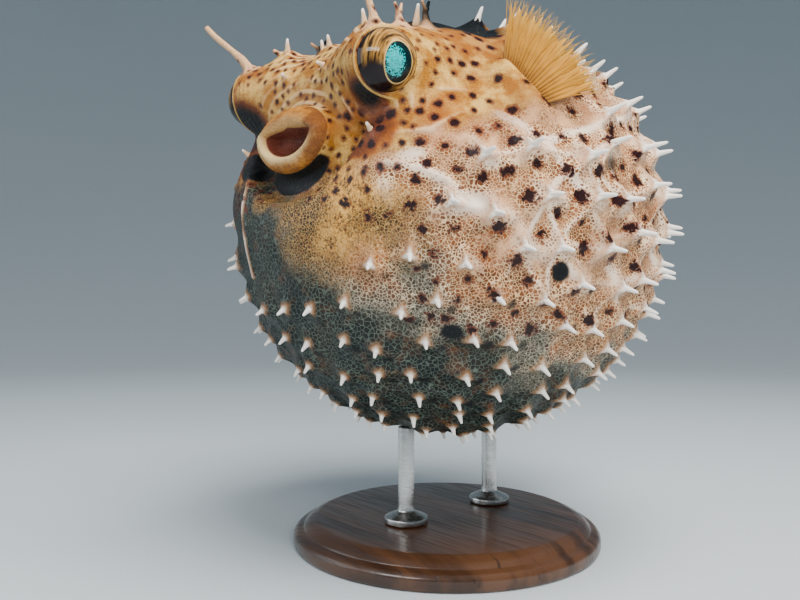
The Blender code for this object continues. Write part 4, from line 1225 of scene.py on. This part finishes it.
for word, swap in SIDES:
    ways, ball_faces = quad_sphere(48)
    middle = (EYE + EYE_AXIS * EYEBALL_PUSH) * swap
    forward = unit((1.0, 0, 0) - PUPIL_WAY * PUPIL_WAY[0])
    upright = np.cross(forward, PUPIL_WAY)
    local = ways * swap
    tilt = np.arccos(np.clip(local @ PUPIL_WAY, -1, 1))
    turn = np.arctan2(local @ upright, local @ forward)
    oval = tilt * np.hypot(np.cos(turn) / PUPIL_WIDE, np.sin(turn) / PUPIL_HIGH)
    bulge = CORNEA_BULGE * (1 - smooth_step(tilt, 0.3, 1.0))
    eye_points = middle + ways * (EYEBALL + bulge)[:, None]
    rim = np.arccos(np.clip(local @ EYE_AXIS, -1, 1))
    glints = np.hypot(tilt * np.cos(turn) - GLINTS_AHEAD, (tilt * np.sin(turn) - GLINTS_UP) * GLINTS_HIGH)
    glints = glints * GLINTS_FALL
    paint = Paint(f"eye_glass_{word}", Roughness=0.12, Specular_IOR_Level=0.12,
                  Coat_Weight=0.3, Coat_Roughness=0.02)
    bands = paint.node("CombineXYZ", {}, X=paint.times("ray_x", 0.5), Y=paint.times("ray_y", 0.5),
                       Z=paint.times("oval", 1.6)).outputs[0]
    rays = paint.noise(2.7, 2.5, bands)
    ring = paint.math("ABSOLUTE", paint.minus("oval", 1.03))
    iris = paint.layers(
        IRIS_DARK,
        (paint.step(rays, 0.36, 0.60), IRIS_GOLD),
        (paint.step(rays, 0.56, 0.70, 0.0, 0.7), IRIS_CREAM),
        ("shade", UMBER),
        (paint.step(ring, 0.02, 0.07, 0.85, 0.0), IRIS_CREAM),
    )
    speckles = paint.cells(GLINT_CELLS, paint.place, "F1", "Color")
    speckle = paint.node("SeparateColor", {}, Color=speckles).outputs[0]
    glow = paint.plus("glints", paint.times(paint.noise(330), 0.5))
    glint = paint.step(paint.plus(glow, paint.times(speckle, 0.5)), 1.30, 1.05)
    pupil = paint.mix(glint, PUPIL_BLACK, paint.mix(speckle, TURQUOISE, DEEP_TURQUOISE))
    paint.coat(paint.mix(paint.step("oval", 0.98, 1.01), pupil, iris))
    paint.bump(paint.noise(1200, 2.0), 0.00002)
    eye = add_piece(f"eyeball_{word}", to_row(eye_points), ball_faces, paint.material, "eye")
    shade = np.minimum(1.6 * near(local, SHADE_WAY, SHADE_SIZE, 0.8), 1)
    shade = np.maximum(shade, smooth_step(rim, *SHADED_RIM))
    keep(eye, oval=oval, ray_x=np.cos(turn), ray_y=np.sin(turn), glints=glints, shade=shade)
    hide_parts(f"eye_{word}")

# ---------------------------------------------------------------- Fins
# Fans of golden rays with a thin skin between them, opaque and painted as the rays are, springing
# from the fleshy lobes. Each ray forks twice, and its tips stand free past the web's edge.

FIN_GOLD, FIN_PALE, FIN_DARK = (0.42, 0.185, 0.016), (0.62, 0.36, 0.070), (0.12, 0.040, 0.007)
RAY_FOOT, RAY_TIP, WEB_THICK = 0.0062, 0.0018, 0.0016
FIN_SUNK = 0.10
RAY_STRETCHES = 9


def ray_way(first, last, share):
    """A ray's direction, turned evenly from the first ray's to the last's."""
    first, last = unit(first), unit(last)
    angle = math.acos(float(first @ last))
    way = math.sin((1 - share) * angle) * first + math.sin(share * angle) * last
    return way / math.sin(angle)


def ray_line(fin, share, start=-FIN_SUNK, end=1.0, aside=0.0):
    """Points along a ray from start to end, as shares of its length."""
    root, half, first, last, reach, cup, out = fin
    way = ray_way(first, last, share)
    length = reach * (0.80 + 0.20 * math.sin(math.pi * (0.15 + 0.7 * share)))
    along = np.linspace(start, end, RAY_STRETCHES)
    lifted = np.maximum(along, 0)[:, None]
    spread = unit(ray_way(first, last, min(share + 0.01, 1.0)) - ray_way(first, last, max(share - 0.01, 0.0)))
    sway = 0.010 * math.sin(share * 47) * lifted**2
    line = root + half * (1 - 2 * share) + np.outer(along * length, way)
    return line + np.array(out) * (cup * lifted**2 + sway) + spread * aside * (along - start)[:, None]


def fin_rays(fin, count):
    """Tapering rods, each forking at half its length and again near its tip."""
    parts, tones = [], []
    for number in range(count):
        share = (number + 0.5) / count
        gap = 1.0 / count
        for start, end, aside, thick in (
            (-FIN_SUNK, 0.62, 0.0, 1.0),
            (0.50, 0.93, 0.055, 0.66),
            (0.50, 0.96, -0.055, 0.62),
            (0.74, 1.0, 0.12, 0.42),
            (0.76, 0.99, -0.13, 0.42),
            (0.70, 1.0, 0.0, 0.45),
        ):
            line = ray_line(fin, share + gap * 0.1 * math.sin(number * 5.1), start, end, aside)
            way = np.linspace(start, end, RAY_STRETCHES)
            radii = (RAY_FOOT + (RAY_TIP - RAY_FOOT) * np.clip(way, 0, 1)) * thick
            radii *= 1 - 0.75 * smooth_step(way, end - 0.12, end)
            parts.append(loft(round_rings(line, radii, 6)))
            tones.append(np.append(np.repeat(way, 6), (start, end)))
    return parts, tones


def fin_web(fin, count):
    """A thin pleated sheet with two faces, scalloped between the rays."""
    columns, rows = count * 4 + 1, 12
    front, back, tones = [], [], []
    for column in range(columns):
        share = np.clip(column / (columns - 1), 0.5 / count, 1 - 0.5 / count)
        between = 0.5 + 0.5 * math.cos(2 * math.pi * column / 4)
        end = 0.86 - 0.10 * between + 0.03 * math.sin(column * 1.3)
        way = np.linspace(-FIN_SUNK, end, rows)
        line = ray_line(fin, share, -FIN_SUNK, end)
        line = np.stack([np.interp(way, np.linspace(-FIN_SUNK, end, RAY_STRETCHES), line[:, k])
                         for k in range(3)], 1)
        out = unit(np.cross(ray_way(fin[2], fin[3], share), fin[1]))
        pleat = 0.0030 * (1 - 2 * between) * np.maximum(way, 0)
        line = line + np.outer(pleat, out)
        front.append(line + out * WEB_THICK / 2)
        back.append(line - out * WEB_THICK / 2)
        tones.append(way)
    points = np.concatenate(front + back)
    half = columns * rows
    faces = []
    for a in range(columns - 1):
        for b in range(rows - 1):
            c = a * rows + b
            faces.append((c, c + rows, c + rows + 1, c + 1))
            faces.append((half + c, half + c + 1, half + c + rows + 1, half + c + rows))
    rim = [a * rows for a in range(columns)]
    rim += [(columns - 1) * rows + b for b in range(1, rows)]
    rim += [a * rows + rows - 1 for a in range(columns - 2, -1, -1)]
    rim += list(range(rows - 2, 0, -1))
    faces += [(b, a, half + a, half + b) for a, b in zip(rim, rim[1:] + rim[:1])]
    return (points, faces), np.concatenate(tones + tones)


fins = {}
for word, swap in SIDES:
    root, half = fin_roots[f"pectoral_fin_{word}"]
    fins[f"pectoral_fin_{word}"] = (
        (root, half, (-0.20, -0.14, 1.0) * swap, (-0.94, 0.34, 0.22) * swap, 0.0235 / BELLY,
         0.003 / BELLY, (0, 1, 0) * swap), 21)
for name, first, last, count in (
    ("dorsal_fin", (-0.25, 0, 1.0), (-1.0, 0, 0.35), 12),
    ("anal_fin", (-0.75, 0, -0.75), (-1.0, 0, -0.05), 11),
):
    root, half = fin_roots[name]
    fins[name] = ((root, half, first, last, 0.026 / BELLY, 0.0, (0, 1, 0)), count)
tail_half = np.array((0, 0, TAIL_END_SIZE[1] * 0.90))
fins["caudal_fin"] = ((TAIL_END, tail_half, (-1, 0, 0.40), (-1, 0, -0.40), 0.031 / BELLY, 0.0, (0, 1, 0)), 10)

paint = Paint("fin_rays", Roughness=0.45, Specular_IOR_Level=0.35, Coat_Weight=0.08, Coat_Roughness=0.3)
shade = paint.plus("along", paint.times(paint.noise(260), 0.5))
paint.coat(paint.layers(
    FIN_DARK, (paint.step(shade, 0.15, 0.85), FIN_GOLD), (paint.step(shade, 0.85, 1.35), FIN_PALE)))
paint.bump(paint.noise(2600, 2.0), 0.00005)
for name, (fin, count) in fins.items():
    parts, tones = fin_rays(fin, count)
    web, web_tones = fin_web(fin, count)
    fin_points, fin_faces = joined(parts + [web])
    piece = add_piece(f"{name}_rays", to_row(fin_points), fin_faces, paint.material, "fin")
    keep(piece, along=np.concatenate(tones + [web_tones]))
    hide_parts(name)

# ---------------------------------------------------------------- Stand
# A turned walnut foot under satin varnish, and two steel rods that run up into the belly, each
# with a turned collar where it enters the wood.

WALNUT, WALNUT_DARK, WALNUT_PORE = (0.085, 0.036, 0.016), (0.032, 0.013, 0.006), (0.012, 0.005, 0.003)
STEEL = (0.62, 0.61, 0.59)
FOOT_AROUND, ROD_AROUND = 144, 40

foot_radius, _, foot_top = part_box("stand_base")[1]


def turned(profile, around, middle=(0.0, 0.0)):
    """A closed solid of a profile of (radius, height) points turned about an upright axis."""
    turn = turns(around)
    rings = [
        np.stack([middle[0] + r * np.cos(turn), middle[1] + r * np.sin(turn), 0 * turn + z], 1)
        for r, z in profile
    ]
    return loft(rings)


def rounded(corners, bend, steps=4):
    """A profile whose inner corners are rounded off."""
    smooth = [corners[0]]
    for before, here, after in zip(corners[:-2], corners[1:-1], corners[2:]):
        before, here, after = np.array(before), np.array(here), np.array(after)
        start = here + (before - here) * min(0.45, bend / np.linalg.norm(before - here))
        end = here + (after - here) * min(0.45, bend / np.linalg.norm(after - here))
        for share in np.linspace(0, 1, steps):
            smooth.append(tuple((1 - share) ** 2 * start + 2 * share * (1 - share) * here + share**2 * end))
    return smooth + [corners[-1]]


paint = Paint("walnut", Roughness=0.34, Coat_Weight=0.35, Coat_Roughness=0.16)
stretched = paint.node("Mapping", {}, Vector=paint.place, Scale=(9.0, 150.0, 60.0)).outputs[0]
figure = paint.noise(1.0, 5.0, stretched)
pores = paint.noise(6.0, 3.0, stretched)
paint.coat(paint.layers(
    WALNUT_DARK,
    (paint.step(figure, 0.36, 0.62), WALNUT),
    (paint.step(pores, 0.60, 0.70, 0.0, 0.7), WALNUT_PORE),
))
paint.set(paint.shader.inputs["Roughness"], paint.step(pores, 0.4, 0.7, 0.28, 0.46))
paint.bump(paint.step(pores, 0.62, 0.70, 1.0, 0.0), 0.00006)
foot_profile = rounded([
    (foot_radius - 0.012, 0.0), (foot_radius - 0.0006, 0.0), (foot_radius, 0.0010), (foot_radius, 0.0040),
    (foot_radius - 0.0012, 0.0054), (foot_radius - 0.0034, 0.0060), (foot_radius - 0.0036, 0.0064),
    (foot_radius - 0.0052, 0.0078), (foot_radius - 0.0080, foot_top), (foot_radius * 0.5, foot_top),
], 0.0007)
wooden_foot = add_piece("walnut_foot", *turned(foot_profile, FOOT_AROUND), paint.material, "wood")
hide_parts("stand_base")

paint = Paint("satin_steel", Base_Color=STEEL, Metallic=1.0, Roughness=0.30)
brushed = paint.node("Mapping", {}, Vector=paint.place, Scale=(300.0, 300.0, 9000.0)).outputs[0]
paint.set(paint.shader.inputs["Roughness"], paint.step(paint.noise(1.0, 2.0, brushed), 0.3, 0.7, 0.22, 0.36))
paint.bump(paint.noise(1.0, 2.0, brushed), 0.00002)
for name in ("stand_rod_front", "stand_rod_rear"):
    low, high = (Vector(corner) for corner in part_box(name))
    collar, middle = (high.x - low.x) / 2, (low + high) / 2
    rod_profile = rounded([
        (0.0005, low.z), (collar, low.z), (collar, low.z + 0.0020), (collar * 0.66, low.z + 0.0031),
        (0.0030, low.z + 0.0040), (0.0028, low.z + 0.0060), (0.0028, high.z), (0.0005, high.z),
    ], 0.0005)
    rod = add_piece(f"{name}_steel", *turned(rod_profile, ROD_AROUND, middle), paint.material, "metal")
    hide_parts(name)

# ---------------------------------------------------------------- Floor and light
# A pale bowl of matt paper whose edge curves up out of sight, a big soft light overhead to the
# right, as the sun was through the water, smaller ones for the sides, and one for the eyes' glint.

PAPER = (0.52, 0.58, 0.62)
PAPER_SHADE = tuple(part * 0.96 for part in PAPER)
FLAT_RADIUS, BOWL_RADIUS, BOWL_HEIGHT = 0.75, 2.4, 2.2
paint = Paint("paper", Roughness=0.85)
paint.coat(paint.mix(paint.noise(3.0), PAPER, PAPER_SHADE))
paint.bump(paint.noise(700, 3.0), 0.00006)
rise = np.linspace(0, math.pi / 2, 24)
bowl_profile = [(0.001, 0.0), (FLAT_RADIUS, 0.0)]
for angle in rise[1:]:
    out = FLAT_RADIUS + (BOWL_RADIUS - FLAT_RADIUS) * math.sin(angle)
    bowl_profile.append((out, BOWL_HEIGHT * (1 - math.cos(angle))))
bowl_points, bowl_faces = turned(bowl_profile, 96)
bowl_faces = [face for face in bowl_faces if len(bowl_points) - 1 not in face]
floor = placed("floor", mesh_from("floor", bowl_points, bowl_faces))
floor.data.materials.append(paint.material)

world = bpy.data.worlds.new("studio")
world.use_nodes = True
world.node_tree.nodes["Background"].inputs["Color"].default_value = (0.60, 0.72, 0.80, 1)
world.node_tree.nodes["Background"].inputs["Strength"].default_value = 0.45
bpy.context.scene.world = world
for name, way, distance, size, power, colour in (
    ("overhead", (0.45, -0.05, 1.0), 0.62, 0.42, 9.0, (1.0, 0.96, 0.90)),
    ("right_front", (0.9, -0.55, 0.35), 0.75, 0.40, 5.5, (1.0, 0.97, 0.93)),
    ("left", (-0.8, -0.9, 0.35), 0.80, 0.50, 1.6, (0.86, 0.94, 1.0)),
    ("glint", (0.105, -0.868, 0.485), 0.687, 0.42, 2.4, (1.0, 1.0, 1.0)),
):
    lamp = bpy.data.lights.new(name, "AREA")
    lamp.size = size
    if name == "glint":
        lamp.shape, lamp.size_y = "RECTANGLE", 0.12
    lamp.energy = power
    lamp.color = colour
    holder = placed(name, lamp)
    holder.location = FISH_MIDDLE + Vector(way).normalized() * distance
    holder.rotation_euler = Vector(way).to_track_quat("Z", "Y").to_euler()
    holder.visible_glossy = name in ("left", "glint")
    holder.visible_diffuse = name != "glint"
